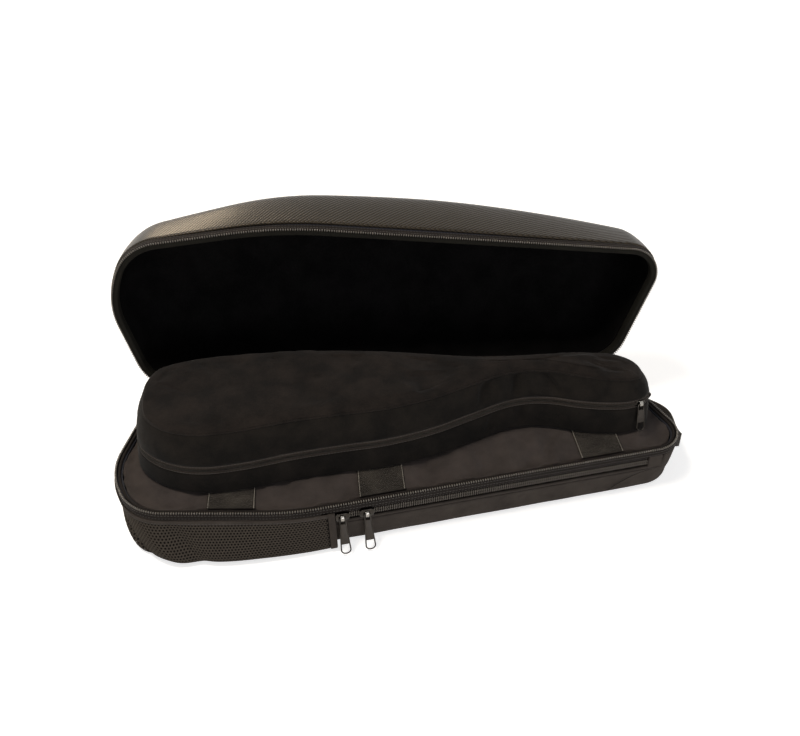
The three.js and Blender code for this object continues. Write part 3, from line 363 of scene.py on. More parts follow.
# The pouch's finer coil is black.
fine_coil = moulded_finish("nylon_coil_fine", "#211e1b", "#454039", grain=4, depth=0.03,
                           Roughness=0.45, Specular_IOR_Level=0.3)
# Knitted spacer mesh in polyester: matt, open and a little dusty.
net = moulded_finish("polyester_mesh_knitted", "#2c2824", "#554e46", grain=3, depth=0.1,
                     Roughness=0.85, Specular_IOR_Level=DULL)
# Black nickel on zinc: a dark mirror, with faint marks of fingers. This lighter copy, on the sliders' crowns,
# is a painted highlight.
nickel = moulded_finish("zinc_black_nickel", "#77746e", "#aca8a1", grain=6, depth=0.02,
                        Roughness=0.12, Metallic=1.0)
# The sliders' bodies and the pulls' wires take the plating's darker copy.
dark_nickel = moulded_finish("zinc_black_nickel_cast", "#1c1a18", "#45413c", grain=6, depth=0.03,
                             Roughness=0.15, Metallic=1.0)
# Black-lacquered zinc of the pulls' plates: half matt.
lacquer = moulded_finish("zinc_black_lacquered", "#2a2622", "#4a443d", grain=5, depth=0.02,
                         Roughness=0.5, Specular_IOR_Level=0.2)
# Bonded polyester thread, a little lighter than the cloth.
thread = moulded_finish("polyester_thread_bonded", "#2b2825", "#4c4741", grain=2, depth=0.02, Roughness=0.6)
# The same thread in a pale grey, for the hook strips and the handle.
pale_thread = moulded_finish("polyester_thread_pale", "#6f6960", "#9d968a", grain=2, depth=0.02,
                             Roughness=0.55)
# Closed-cell foam, dark and matt, inside the shells.
foam = moulded_finish("polyethylene_foam", "#1a1a1f", "#2c2c33", grain=1.5, depth=0.2, Roughness=0.9)
# Wood-fibre board under the lining: brown and matt.
board = moulded_finish("wood_fibre_board", "#3a3028", "#5b4d40", grain=2.5, depth=0.15, Roughness=0.8)

# Meshes


def solid(name, points, faces, corners, finish, closed=True, smooth=True):
    """A mesh object from points in millimetres, faces, and each face's corners on the cloth."""
    points = np.asarray(points, float)
    if closed:
        fans = [(f[0], f[k], f[k + 1]) for f in faces for k in range(1, len(f) - 1)]
        a, b, c = (points[[fan[k] for fan in fans]] for k in range(3))
        if np.einsum("ij,ij->i", a, np.cross(b, c)).sum() < 0:
            faces = [list(f)[::-1] for f in faces]
            corners = [list(c)[::-1] for c in corners]
    mesh = bpy.data.meshes.new(name)
    mesh.from_pydata((points * MM).tolist(), [], [list(map(int, f)) for f in faces])
    layer = mesh.uv_layers.new(name="cloth")
    flat = np.array([corner for face in corners for corner in face], float) * MM
    layer.data.foreach_set("uv", flat.ravel())
    mesh.polygons.foreach_set("use_smooth", [smooth] * len(mesh.polygons))
    mesh.materials.append(finish)
    mesh.update()
    piece = bpy.data.objects.new(name, mesh)
    bpy.context.scene.collection.objects.link(piece)
    return piece


def grid(rows, ring, joined):
    """Faces and cloth corners of rows of points.

    ring: each row closes. joined: the last row meets the first.
    """
    rows = np.asarray(rows, float)
    count, width = rows.shape[:2]
    steps = np.linalg.norm(np.roll(rows, -1, axis=1) - rows, axis=2).max(axis=0)
    along = np.concatenate([[0], np.cumsum(steps)])
    climbs = np.linalg.norm(np.roll(rows, -1, axis=0) - rows, axis=2).mean(axis=1)
    up = np.concatenate([[0], np.cumsum(climbs)])
    faces = []
    corners = []
    for r in range(count if joined else count - 1):
        for c in range(width if ring else width - 1):
            n, s = (c + 1) % width, (r + 1) % count
            faces.append([r * width + c, r * width + n, s * width + n, s * width + c])
            corners.append([(along[c], up[r]), (along[c + 1], up[r]),
                            (along[c + 1], up[r + 1]), (along[c], up[r + 1])])
    return faces, corners


def cap(ring, start):
    """Triangles that fill a ring from its front side to its back side, from left to right."""
    count = len(ring)
    left, right = int(ring[:, 0].argmin()), int(ring[:, 0].argmax())
    front = [(left + k) % count for k in range((right - left) % count + 1)]
    back = [(left - k) % count for k in range((left - right) % count + 1)]
    faces = []
    f = b = 0
    while f < len(front) - 1 or b < len(back) - 1:
        next_front = ring[front[f + 1], 0] if f < len(front) - 1 else math.inf
        next_back = ring[back[b + 1], 0] if b < len(back) - 1 else math.inf
        if next_front <= next_back:
            face = [front[f], front[f + 1], back[b]]
            f += 1
        else:
            face = [front[f], back[b + 1], back[b]]
            b += 1
        if len(set(face)) == 3:
            faces.append([start + i for i in face])
    return faces


def ring_body(name, rows, finish, joined=False):
    """Closed body of rings. Its two ends are filled, or its last ring meets its first."""
    rows = np.asarray(rows, float)
    points = rows.reshape(-1, 3)
    faces, corners = grid(rows, True, joined)
    if not joined:
        low = [face[::-1] for face in cap(rows[0], 0)]
        high = cap(rows[-1], (len(rows) - 1) * rows.shape[1])
        faces += low + high
        corners += [[(points[i][0], points[i][1]) for i in face] for face in low + high]
    return solid(name, points, faces, corners, finish)


def path_body(name, sections, finish):
    """Closed body of closed sections along a path."""
    sections = np.asarray(sections, float)
    count, width = sections.shape[:2]
    faces, corners = grid(sections, True, False)
    corners = [[(v, u) for u, v in face] for face in corners]
    ends = [list(range(width))[::-1], [(count - 1) * width + i for i in range(width)]]
    faces += ends
    corners += [[(i, 0) for i in range(width)] for _ in ends]
    return solid(name, sections.reshape(-1, 3), faces, corners, finish)


def plan(inset, lid=False):
    """Rounded outline of the case, moved inwards: its points, and each corner's first and last place."""
    names = list(PLAN_CORNERS)
    shares = {n: PLAN_CORNERS[n][1] + (LID_FRONT_SHIFT.get(n, 0) if lid else 0) for n in names}
    vertices = [np.array([PLAN_CORNERS[n][0] * CASE_LENGTH, shares[n] * CASE_DEPTH]) for n in names]
    edges = []
    for i, start in enumerate(vertices):
        along = vertices[(i + 1) % len(vertices)] - start
        along /= np.linalg.norm(along)
        edges.append((start + inset * np.array([-along[1], along[0]]), along))
    points = []
    marks = {}
    arcs = []
    for i, name in enumerate(names):
        radius, steps = PLAN_CORNERS[name][2:4]
        if lid and name == "front_knee":
            radius = LID_KNEE_RADIUS
        (p, u), (q, v) = edges[i - 1], edges[i]
        vertex = p + u * (np.cross(q - p, v) / np.cross(u, v))
        radius = max(radius - inset, SMALLEST_RADIUS)
        turn = math.acos(u @ v)
        start = vertex - u * radius * math.tan(turn / 2)
        centre = start + radius * np.array([-u[1], u[0]])
        angles = turn * np.arange(steps + 1) / steps
        spoke = start - centre
        arcs.append(centre + np.stack([
            spoke[0] * np.cos(angles) - spoke[1] * np.sin(angles),
            spoke[0] * np.sin(angles) + spoke[1] * np.cos(angles)], axis=1))
    for i, name in enumerate(names):
        marks[name] = (len(points), len(points) + len(arcs[i]) - 1)
        points.extend(arcs[i])
        steps = PLAN_CORNERS[name][4]
        start, end = arcs[i][-1], arcs[(i + 1) % len(arcs)][0]
        points.extend(start + (end - start) * k / steps for k in range(1, steps))
    return np.array(points), marks


MARKS = plan(0)[1]


def plan_ring(inset, height, lid=False):
    outline = plan(inset, lid)[0]
    return np.column_stack([outline, np.full(len(outline), float(height))])


def tucked(points):
    """Draws the ends of a base piece in towards the floor."""
    points = np.array(points, float)
    share = 2 * points[..., 0] / CASE_LENGTH
    drop = np.maximum(1 - points[..., 2] / RIM_BAND[0], 0)
    tuck = np.where(share < 0, LEFT_TUCK, RIGHT_TUCK)
    points[..., 0] -= tuck * drop * share * np.abs(share) ** (TUCK_POWER - 1)
    return points


def opened(points):
    """Places of the shut lid, turned open about the hinge."""
    x, y, z = np.moveaxis(np.asarray(points, float), -1, 0)
    y = y - CASE_DEPTH / 2
    cos, sin = math.cos(-LID_OPEN), math.sin(-LID_OPEN)
    return np.stack([x, y * cos - z * sin + CASE_DEPTH / 2, y * sin + z * cos + RIM_HEIGHT], axis=-1)


def round_section(inset, height, radius, sides):
    turns = 2 * math.pi * np.arange(sides) / sides
    return [(inset - radius * math.cos(t), height + radius * math.sin(t)) for t in turns]


def band_section(near, far, low, high, edge):
    """Section of a flat band whose corners are rounded by edge."""
    corners = [(near + edge, low + edge), (far - edge, low + edge),
               (far - edge, high - edge), (near + edge, high - edge)]
    section = []
    for (inset, height), turn in zip(corners, [math.pi, 1.5 * math.pi, 0, math.pi / 2]):
        for k in range(4):
            angle = turn + k * math.pi / 6
            section.append((inset + edge * math.cos(angle), height + edge * math.sin(angle)))
    return section


def plan_band(name, section, finish, lid=False, shape=None):
    rows = [plan_ring(inset, height, lid) for inset, height in section]
    if shape:
        rows = shape(np.array(rows))
    return ring_body(name, opened(rows) if lid else rows, finish, joined=True)


def span(first, last, count):
    """Places of a ring from first on to last, round its end."""
    return [i % count for i in range(first, (last if last >= first else last + count) + 1)]


def plan_strip(name, section, places, finish, lid=False, shape=None):
    rows = np.array([plan_ring(inset, height, lid) for inset, height in section])
    sections = np.swapaxes(rows[:, places], 0, 1)
    if shape:
        sections = shape(sections)
    return path_body(name, opened(sections) if lid else sections, finish)


def settle(piece, body, slot, *nodes):
    """The piece rides on a body and stands for CAD nodes, which it hides. Its slot is not used."""
    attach(piece, body)
    if nodes:
        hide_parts(*nodes)
    return piece


def ripple(points, size):
    """Soft chance heights from -1 to 1 at points, in waves about size millimetres long."""
    flat = np.asarray(points, float).reshape(-1, 3)
    return np.array([noise.noise(Vector(p) / size) for p in flat]).reshape(np.shape(points)[:-1])


def uneven(points, size, depth):
    """Cloth that stands a little off what is behind it, by depth at most."""
    points = np.array(points, float)
    out = points[..., :2] / [CASE_LENGTH, CASE_DEPTH]
    out /= np.linalg.norm(out, axis=-1)[..., None]
    points[..., :2] += out * np.abs(ripple(points, size))[..., None] * depth
    return points


def dented(points, depth):
    """The tray's outside drawn in by soft dents between its bottom edge and its top."""
    points = np.array(points, float)
    out = points[..., :2] / [CASE_LENGTH, CASE_DEPTH]
    out /= np.linalg.norm(out, axis=-1)[..., None]
    height = np.clip(points[..., 2] / TRAY_TOP, 0, 1)
    dents = np.sin(math.pi * height) * np.clip(0.4 + ripple(points * [1, 1, 2.2], 42), 0, 1)
    points[..., :2] -= out * dents[..., None] * depth
    return points


def outline_size(inset):
    """Perimeter and area of the case's outline, moved inwards."""
    x, y = plan(inset)[0].T
    perimeter = np.hypot(np.roll(x, -1) - x, np.roll(y, -1) - y).sum()
    return perimeter, abs((x * np.roll(y, -1) - np.roll(x, -1) * y).sum()) / 2


def dished_cut(inset, depth):
    """Flat size and area of the cut for a dish: its floor, and a band as deep as its wall all round."""
    perimeter, floor = outline_size(inset)
    flat = ((CASE_DEPTH + 2 * depth) * MM, (CASE_LENGTH + 2 * depth) * MM)
    return flat, (floor + perimeter * depth) * MM * MM


# Base

PLAN_COUNT = len(plan(0)[0])
AROUND = span(MARKS["front_right"][0] + 2, MARKS["front_knee"][1], PLAN_COUNT)
ZIP_RUN = span(MARKS["back_left"][0], MARKS["back_right"][1], PLAN_COUNT)
TRAY_STEP = 3
TRAY_DENT = 2.6
FACING_WAVE = 70
FACING_SLACK = 1.1


def make_tray():
    rows = []
    for k in range(7):
        turn = math.pi / 2 * k / 6
        rows.append(plan_ring(BOTTOM_RADIUS * (1 - math.sin(turn)), BOTTOM_RADIUS * (1 - math.cos(turn))))
    for height in range(BOTTOM_RADIUS + TRAY_STEP, TRAY_TOP + 1, TRAY_STEP):
        rows.append(plan_ring(0, height))
    inside = [(TRAY_WALL, TRAY_TOP), (TRAY_WALL, BOTTOM_RADIUS), (BOTTOM_RADIUS, TRAY_FLOOR)]
    rows = np.concatenate([dented(rows, TRAY_DENT), [plan_ring(inset, height) for inset, height in inside]])
    piece = ring_body("tray_cloth", tucked(rows), canvas)
    settle(piece, "base", "dark_fabric", "base_tray")


TRAY_LINING = {"outer": 6.8, "thickness": 1, "floor_inset": 16, "low": 7.6}


def make_tray_lining():
    outer, thickness, floor_inset, low = TRAY_LINING.values()
    inner = outer + thickness
    rows = [plan_ring(floor_inset, low), plan_ring(outer, BOTTOM_RADIUS), plan_ring(outer, TRAY_TOP),
            plan_ring(inner, TRAY_TOP), plan_ring(inner, BOTTOM_RADIUS + thickness),
            plan_ring(floor_inset + thickness, low + thickness)]
    piece = ring_body("tray_lining", tucked(rows), suede_painted_shade)
    settle(piece, "base", "lining", "base_lining")
    flat, area = dished_cut(outer, TRAY_TOP - low)


def make_facing():
    low, high = TRAY_TOP + GAP / 2, RIM_BAND[0] - GAP
    heights = np.linspace(low, high, 7)
    section = [(0, h) for h in heights] + [(FACING_THICKNESS, h) for h in heights[::-1]]

    def drape(points):
        return uneven(tucked(points), FACING_WAVE, FACING_SLACK)

    piece = plan_strip("side_cloth", section, AROUND, canvas, shape=drape)
    settle(piece, "base", "dark_fabric", "base_side_facing")


def make_rim():
    section = band_section(0, RIM_BAND_THICKNESS, *RIM_BAND, 0.7)
    settle(plan_band("rim_tape", section, zip_tape), "base", "dark_fabric", "base_rim_band")


def make_piping():
    piece = plan_band("panel_piping", round_section(*PIPING, 12), zip_tape)
    settle(piece, "base", "dark_fabric", "base_panel_piping")


# Lid


def lid_ring(inset, offset, height_of):
    ring = plan_ring(inset, 0, lid=True)
    x, y = ring[:, 0], ring[:, 1]
    run = x / CASE_LENGTH - ARCH_PEAK
    reach = np.where(run < 0, -run / ARCH_LEFT, run / ARCH_RIGHT)
    share = 1 - np.minimum(reach, 1) ** ARCH_POWER
    depth = LID_END_DEPTH + (LID_MIDDLE_DEPTH - LID_END_DEPTH) * share
    height = height_of(depth - offset)
    rise = height / depth
    swell = LID_SWELL * share * np.sin(rise * SWELL_TURN) - FRONT_TUCK * (1 - share) * rise
    end = 2 * x / CASE_LENGTH
    tuck = (LID_TUCK * rise ** 2 - END_BULGE * np.sin(math.pi * rise)) * end * np.abs(end) ** 4
    front = (CASE_DEPTH / 2 - y) / CASE_DEPTH
    return np.column_stack([x - tuck, y - front * swell, height])


# How far the crown's rings draw in at their ends, and how far the last one rises
CROWN_DRAW = 60
CROWN_LIFT = 1.5
# Shares of the crown's width that are left at each of its closing rings
CLOSING = (0.85, 0.7, 0.55, 0.4, 0.25, 0.1)
# Sections of the rim's tape and binding: nearest, farthest, lowest and the rounding of their edges
LID_TAPE = (0, RIM_BAND_THICKNESS, 3.7, 0.7)
LID_BINDING = (2.7, 9.7, 1.2, 1.9)


def narrowed(ring, share, left, right, lift, arched=False):
    """A ring drawn in towards its middle line and raised.

    arched: its points follow the ring's heights along x.
    """
    x, y, z = ring.T
    low, high = x.min(), x.max()
    squeezed = low + left * (1 - share) + (x - low) * (1 - (left + right) * (1 - share) / (high - low))
    i, j = int(x.argmin()), int(x.argmax())
    order_front = span(i, j, len(ring))
    order_back = span(j, i, len(ring))[::-1]
    sides = []
    for order in (order_front, order_back):
        sides.append(np.interp(squeezed, x[order], y[order]))
    middle = (sides[0] + sides[1]) / 2
    if arched:
        z = np.interp(squeezed, x[order_front], z[order_front])
    return np.column_stack([squeezed, middle + (y - middle) * share, z + lift * (1 - share ** 2)])


def lid_skin(offset):
    """The lid's rings at a depth under its skin, from its band to its crown."""
    radius = SHOULDER_RADIUS - offset
    rows = []
    for share in np.linspace(0, 1, 11):
        rows.append(lid_ring(offset, offset,
                             lambda d, s=share: LID_BAND_TOP + s * (d - radius - LID_BAND_TOP)))
    for k in range(1, 10):
        turn = math.pi / 2 * k / 9
        inset = offset + radius * (1 - math.cos(turn))
        rows.append(lid_ring(inset, offset, lambda d, t=turn: d - radius * (1 - math.sin(t))))
    for k in range(1, 4):
        inset = SHOULDER_RADIUS + CROWN_RUN * k / 3
        rows.append(lid_ring(inset, offset, lambda d, s=k / 3: d + CROWN_RISE * math.sin(s * math.pi / 2)))
    last = rows[-1]
    rows += [narrowed(last, share, CROWN_DRAW, CROWN_DRAW, CROWN_LIFT, arched=True) for share in CLOSING]
    return rows


def draped(rows):
    """Places on the cloth of a sheet drawn over the lid: flat over its crown, and let down its walls."""
    rows = np.array(rows)
    edge = len(rows) - len(CLOSING) - 1
    cloth = rows[..., :2].copy()
    out = rows[0, :, :2] - rows[edge, :, :2]
    out /= np.linalg.norm(out, axis=1)[:, None]
    steps = np.linalg.norm(np.diff(rows[:edge + 1], axis=0), axis=2)
    down = np.cumsum(steps[::-1], axis=0)[::-1]
    cloth[:edge] = cloth[edge] + out * down[..., None]
    return cloth


def make_lid():
    outer, inner = lid_skin(0), lid_skin(SHELL_THICKNESS)
    piece = ring_body("lid_vinyl", opened(inner[::-1] + outer), vinyl)
    cloth = np.concatenate([draped(inner)[::-1], draped(outer)]).reshape(-1, 2) * MM
    corners = np.zeros(len(piece.data.loops), int)
    piece.data.loops.foreach_get("vertex_index", corners)
    piece.data.uv_layers["cloth"].data.foreach_set("uv", cloth[corners].ravel())
    settle(piece, "lid", "vinyl", "lid_shell")
    outer, inner = lid_skin(FOAM_OFFSET), lid_skin(FOAM_OFFSET + FOAM_THICKNESS)
    piece = ring_body("lid_padding", opened(inner[::-1] + outer), foam)
    settle(piece, "lid", "foam", "lid_foam")
    outer, inner = lid_skin(LINING_OFFSET), lid_skin(LINING_OFFSET + LINING_THICKNESS)
    piece = ring_body("lid_pile_lining", opened(inner[::-1] + outer), velvet)
    settle(piece, "lid", "velvet", "lid_lining")
    wall = (LID_MIDDLE_DEPTH + LID_END_DEPTH) / 2 - LINING_OFFSET - LID_BAND_TOP
    flat, area = dished_cut(LINING_OFFSET, wall)
    for name, (near, far, low, edge), finish, node in (
            ("lid_rim_tape", LID_TAPE, zip_tape, "lid_rim_band"),
            ("lid_binding", LID_BINDING, binding_tape, "lid_rim_binding")):
        section = band_section(near, far, low, LID_BAND_TOP - GAP, edge)
        settle(plan_band(name, section, finish, lid=True), "lid", "dark_fabric", node)


# Pouch


def pouch_plan():
    """Closed smooth curve through the outline's shares, with points at even distances."""
    places = np.array([
        (POUCH_LEFT + a * POUCH_LENGTH, POUCH_BACK - b * POUCH_WIDTH) for a, b in POUCH_OUTLINE])
    count = len(places)
    fine = []
    for i in range(count):
        p0, p1, p2, p3 = (places[(i + k) % count] for k in (-1, 0, 1, 2))
        d0, d1, d2 = (math.sqrt(np.linalg.norm(b - a)) for a, b in ((p0, p1), (p1, p2), (p2, p3)))
        t1 = ((p1 - p0) / d0 - (p2 - p0) / (d0 + d1) + (p2 - p1) / d1) * d1
        t2 = ((p2 - p1) / d1 - (p3 - p1) / (d1 + d2) + (p3 - p2) / d2) * d1
        for t in np.arange(0, 1, 0.05):
            a, b = 2 * t ** 3 - 3 * t ** 2, t ** 3 - 2 * t ** 2 + t
            fine.append((a + 1) * p1 + b * t1 - a * p2 + (t ** 3 - t ** 2) * t2)
    fine = np.array(fine + [fine[0]])
    run = np.concatenate([[0], np.cumsum(np.linalg.norm(np.diff(fine, axis=0), axis=1))])
    even = np.linspace(0, run[-1], POUCH_COLUMNS, endpoint=False)
    points = np.column_stack([np.interp(even, run, fine[:, k]) for k in (0, 1)])
    along = np.roll(points, -1, axis=0) - np.roll(points, 1, axis=0)
    along /= np.linalg.norm(along, axis=1)[:, None]
    return points, np.column_stack([along[:, 1], -along[:, 0]])


POUCH_POINTS, POUCH_OUT = pouch_plan()


def zip_at(x):
    return ZIP_HEIGHTS[0] + (ZIP_HEIGHTS[1] - ZIP_HEIGHTS[0]) * (x - POUCH_LEFT) / POUCH_LENGTH


def seam_at(x):
    share = 2 * (x - POUCH_LEFT) / POUCH_LENGTH - 1
    return POUCH_SEAM - np.where(share < 0, *POUCH_DROPS) * np.abs(share) ** 4


# How far the side leans out at its foot and in at its top, and how far its top shifts back
FOOT_SPREAD = 5
TOP_DRAW = 12
TOP_SHIFT = 4
# Inset and height of each ring round the bottom edge
POUCH_FOOT = [(6, 0), (2, 0.4), (0, 2.2)]
LOWER_START = 5
LOWER_SWELL = 0.8
LOWER_FLOOR = 7
LOWER_WALL = 5


def pouch_ring(height_of, inset=0.0, lift=0.0):
    """Ring of the pouch's side at a height over its floor, moved inwards by inset."""
    x, y = POUCH_POINTS.T
    zip_height, seam = zip_at(x), seam_at(x)
    height = height_of(zip_height, seam)
    climb = np.maximum((height - zip_height) / (seam - zip_height), 0)
    foot = np.maximum(1 - height / zip_height, 0)
    grow = FOOT_SPREAD * foot - TOP_DRAW * climb ** 2 - inset
    return np.column_stack([
        x + POUCH_OUT[:, 0] * grow, y + POUCH_OUT[:, 1] * grow + TOP_SHIFT * climb,
        POUCH_FLOOR + height + lift])


def make_pouch_lower():
    rows = [pouch_ring(lambda z, s, h=height: 0 * z + h, inset) for inset, height in POUCH_FOOT]
    for share in np.linspace(0, 1, 9):
        swell = LOWER_SWELL * math.sin(math.pi * share)
        ring = pouch_ring(lambda z, s, t=share: LOWER_START + t * (z - ZIP_REACH - LOWER_START), -swell)
        rows.append(folded(ring, share, FOOT_FOLDS))
    for share in np.linspace(1, 0, 4):
        rows.append(pouch_ring(
            lambda z, s, t=share: LOWER_FLOOR + t * (z - ZIP_REACH - LOWER_FLOOR), LOWER_WALL))
    # The lower side takes the darker copy of the suede: painted shade.
    piece = ring_body("pouch_lower", rows, suede_painted_shade)
    settle(piece, "pouch", "pouch_side", "pouch_lower_gusset", "pouch_bottom_pad")


# Folds at the pouch's waist: place along x, half width, depth inwards and lean to the right.
# Below zero the depth is a bulge between two folds.
WAIST_FOLDS = [(110, 9, 9, 4), (132, 9, -3.5, 3), (155, 5.5, 8.5, 2), (182, 12, -4, -8), (212, 7, 8.5, -20)]
FOOT_FOLDS = [(118, 8, 4.4, 6), (141, 9, -2, 3), (163, 7, 4.2, 0)]
POUCH_WALL = 11.5
SIDE_ROWS = 12
# Inset and lift of each ring over the top seam, outside and inside
CROWN = [(1.6, 0.9), (1.2, 2.4), (3.2, 4.3), (7, 5.9), (11, 7.4), (16, 8.6)]
INNER_CROWN = [(14, 4), (21, 6)]
ROOF = np.linspace(0.97, 0.06, 16)
INNER_ROOF = (0.7, 0.4, 0.1)
# How far the roof's rings draw in at the left and the right, and how far the last one rises
ROOF_SHAPE = (45, 40, 1.2)
ROOF_EDGE = 0.8
ROOF_EDGE_RUN = 0.07
SINK_DEPTH = 3.2
SINK_ROWS = 6
SINK_WAVE = 85
# How far the settling cloth may move: anywhere, on the side, by the seam, and upwards
SKIN_REACH = 6.0
SIDE_REACH = 2.4
SEAM_REACH = 1.5
HIGHEST_RISE = 0.8


def folded(ring, share, folds):
    """Draws a ring of the pouch's side in along its folds, on the front."""
    ring = np.array(ring, float)
    depth = sum(d * np.exp(-((ring[:, 0] - x - lean * share) / w) ** 2) for x, w, d, lean in folds)
    depth = np.where(POUCH_OUT[:, 1] < -0.3, depth, 0) * math.sin(math.pi * share) ** 0.6
    ring[:, :2] -= POUCH_OUT * depth[:, None]
    return ring


def pouch_side(share, inset=0.0):
    return pouch_ring(lambda z, s: z + ZIP_REACH + share * (s - z - ZIP_REACH), inset)


def pouch_skin():
    rows = [folded(pouch_side(share), share, WAIST_FOLDS) for share in np.linspace(0, 1, SIDE_ROWS)]
    rows += [pouch_ring(lambda z, s: s, inset, lift) for inset, lift in CROWN]
    edge = rows[-1]
    for share in ROOF:
        rise = ROOF_EDGE - ROOF_EDGE * math.exp((share - 1) / ROOF_EDGE_RUN)
        rows.append(narrowed(edge, share, *ROOF_SHAPE) + [0, 0, rise])
    rows = np.array(rows)
    # The roof sinks a little in places, as a soft top does that lies on an instrument.
    sink = np.clip((np.arange(len(rows)) - SIDE_ROWS - 1) / SINK_ROWS, 0, 1)
    rows[..., 2] -= SINK_DEPTH * sink[:, None] * (0.6 + ripple(rows * [1, 1, 0], SINK_WAVE))
    return rows


def make_pouch_upper():
    rows = pouch_skin()
    shape = rows.shape
    faces, corners = grid(rows, True, False)
    skin = solid("skin", rows.reshape(-1, 3), faces, corners, suede, closed=False)
    held = np.zeros(shape[:2])
    held[:2] = held[SIDE_ROWS - 1] = held[SIDE_ROWS] = 1
    reach = np.full(shape[:2], SKIN_REACH)
    reach[:SIDE_ROWS] = SIDE_REACH
    reach[SIDE_ROWS:SIDE_ROWS + len(CROWN)] = SEAM_REACH
    settled = relaxed(skin, held.ravel(), 0.01, 0.4, reach.ravel()).reshape(shape) / MM
    bpy.data.objects.remove(skin)
    # It may sink freely, and rises hardly at all: the lid shuts close above it.
    rise = settled[..., 2] - rows[..., 2]
    capped = HIGHEST_RISE * np.tanh(rise / HIGHEST_RISE)
    settled[..., 2] = rows[..., 2] + np.where(rise > 0, capped, rise)
    rows = settled
    lowest = [pouch_side(share, POUCH_WALL) for share in np.linspace(0, 0.8, 5)]
    top = [pouch_ring(lambda z, s: s, inset, -POUCH_WALL + lift) for inset, lift in INNER_CROWN]
    roof = [narrowed(top[-1], share, *ROOF_SHAPE) for share in INNER_ROOF]
    inner = (lowest + top + roof)[::-1]
    piece = ring_body("pouch_upper", inner + list(rows), suede)
    mesh = piece.data
    # The side rows take the darker copy of the suede: painted shade on the pouch's sides.
    mesh.materials.append(suede_painted_shade)
    first = len(inner) * POUCH_COLUMNS
    for polygon in mesh.polygons[first:first + (SIDE_ROWS - 1) * POUCH_COLUMNS]:
        polygon.material_index = 1
    settle(piece, "pouch_flap", "suede", "pouch_upper_gusset", "pouch_top_panel")
    welt = [pouch_ring(lambda z, s: s, inset, lift) for inset, lift in round_section(0.7, 0.9, 1.1, 8)]
    settle(ring_body("pouch_seam_welt", welt, suede, joined=True), "pouch_flap", "suede")


# Repeated pieces


def new_tree(name, inputs):
    """A geometry nodes tree with named inputs, its input node's outputs and its inputs' identifiers."""
    tree = bpy.data.node_groups.new(name, "GeometryNodeTree")
    keys = {}
    for label, kind in inputs.items():
        keys[label] = tree.interface.new_socket(label, in_out="INPUT", socket_type=kind).identifier
    tree.interface.new_socket("Pieces", in_out="OUTPUT", socket_type="NodeSocketGeometry")
    return tree, add(tree, "NodeGroupInput").outputs, keys


def close_tree(tree, instances, finish):
    real = add(tree, "GeometryNodeRealizeInstances", {0: instances}).outputs[0]
    dressed_pieces = add(tree, "GeometryNodeSetMaterial", {"Geometry": real, "Material": finish}).outputs[0]
    add(tree, "NodeGroupOutput", {0: dressed_pieces})


def path_tree():
    """Repeats a small piece along a path. Its x follows the path and its y the path's inwards attribute."""
    tree, given, keys = new_tree("repeat_along_path", {
        "Path": "NodeSocketGeometry", "Piece": "NodeSocketObject", "Spacing": "NodeSocketFloat",
        "Looseness": "NodeSocketFloat", "Finish": "NodeSocketMaterial"})
    line = add(tree, "GeometryNodeMeshToCurve", {0: given["Path"]})
    points = add(tree, "GeometryNodeCurveToPoints",
                 {"Curve": line.outputs[0], "Length": given["Spacing"]}, mode="LENGTH")
    inwards = add(tree, "GeometryNodeInputNamedAttribute", {"Name": "inwards"}, data_type="FLOAT_VECTOR")
    along = add(tree, "FunctionNodeAlignRotationToVector", {"Vector": points.outputs["Tangent"]}, axis="X")
    turned = add(tree, "FunctionNodeAlignRotationToVector",
                 {"Rotation": along.outputs[0], "Vector": inwards.outputs[0]}, axis="Y", pivot_axis="X")
    chance = add(tree, "FunctionNodeRandomValue",
                 {0: (-1, -1, -1), 1: (1, 1, 1), "Seed": 7}, data_type="FLOAT_VECTOR")
    shaken = add(tree, "ShaderNodeVectorMath",
                 {0: chance.outputs[0], "Scale": given["Looseness"]}, operation="SCALE")
    shake = add(tree, "FunctionNodeEulerToRotation", {0: shaken.outputs[0]})
    turned = add(tree, "FunctionNodeRotateRotation",
                 {0: turned.outputs[0], 1: shake.outputs[0]}, rotation_space="LOCAL")
    piece = add(tree, "GeometryNodeObjectInfo", {"Object": given["Piece"]})
    placed = add(tree, "GeometryNodeInstanceOnPoints", {
        "Points": points.outputs["Points"], "Instance": piece.outputs["Geometry"],
        "Rotation": turned.outputs[0]})
    close_tree(tree, placed.outputs[0], given["Finish"])
    return tree, keys


def ground_tree():
    """Stands a small piece on each point of a ground, each turned and leaned by chance."""
    tree, given, keys = new_tree("stand_on_points", {
        "Ground": "NodeSocketGeometry", "Piece": "NodeSocketObject", "Lean": "NodeSocketFloat",
        "Finish": "NodeSocketMaterial"})
    lean = add(tree, "ShaderNodeMath", {0: given["Lean"], 1: -1.0}, operation="MULTIPLY")
    low = add(tree, "ShaderNodeCombineXYZ", {0: lean.outputs[0], 1: lean.outputs[0], 2: -math.pi})
    high = add(tree, "ShaderNodeCombineXYZ", {0: given["Lean"], 1: given["Lean"], 2: math.pi})
    chance = add(tree, "FunctionNodeRandomValue",
                 {0: low.outputs[0], 1: high.outputs[0], "Seed": 11}, data_type="FLOAT_VECTOR")
    piece = add(tree, "GeometryNodeObjectInfo", {"Object": given["Piece"]})
    turn = add(tree, "FunctionNodeEulerToRotation", {0: chance.outputs[0]})
    points = add(tree, "GeometryNodeMeshToPoints", {0: given["Ground"]})
    placed = add(tree, "GeometryNodeInstanceOnPoints", {
        "Points": points.outputs[0], "Instance": piece.outputs["Geometry"], "Rotation": turn.outputs[0]})
    close_tree(tree, placed.outputs[0], given["Finish"])
    return tree, keys


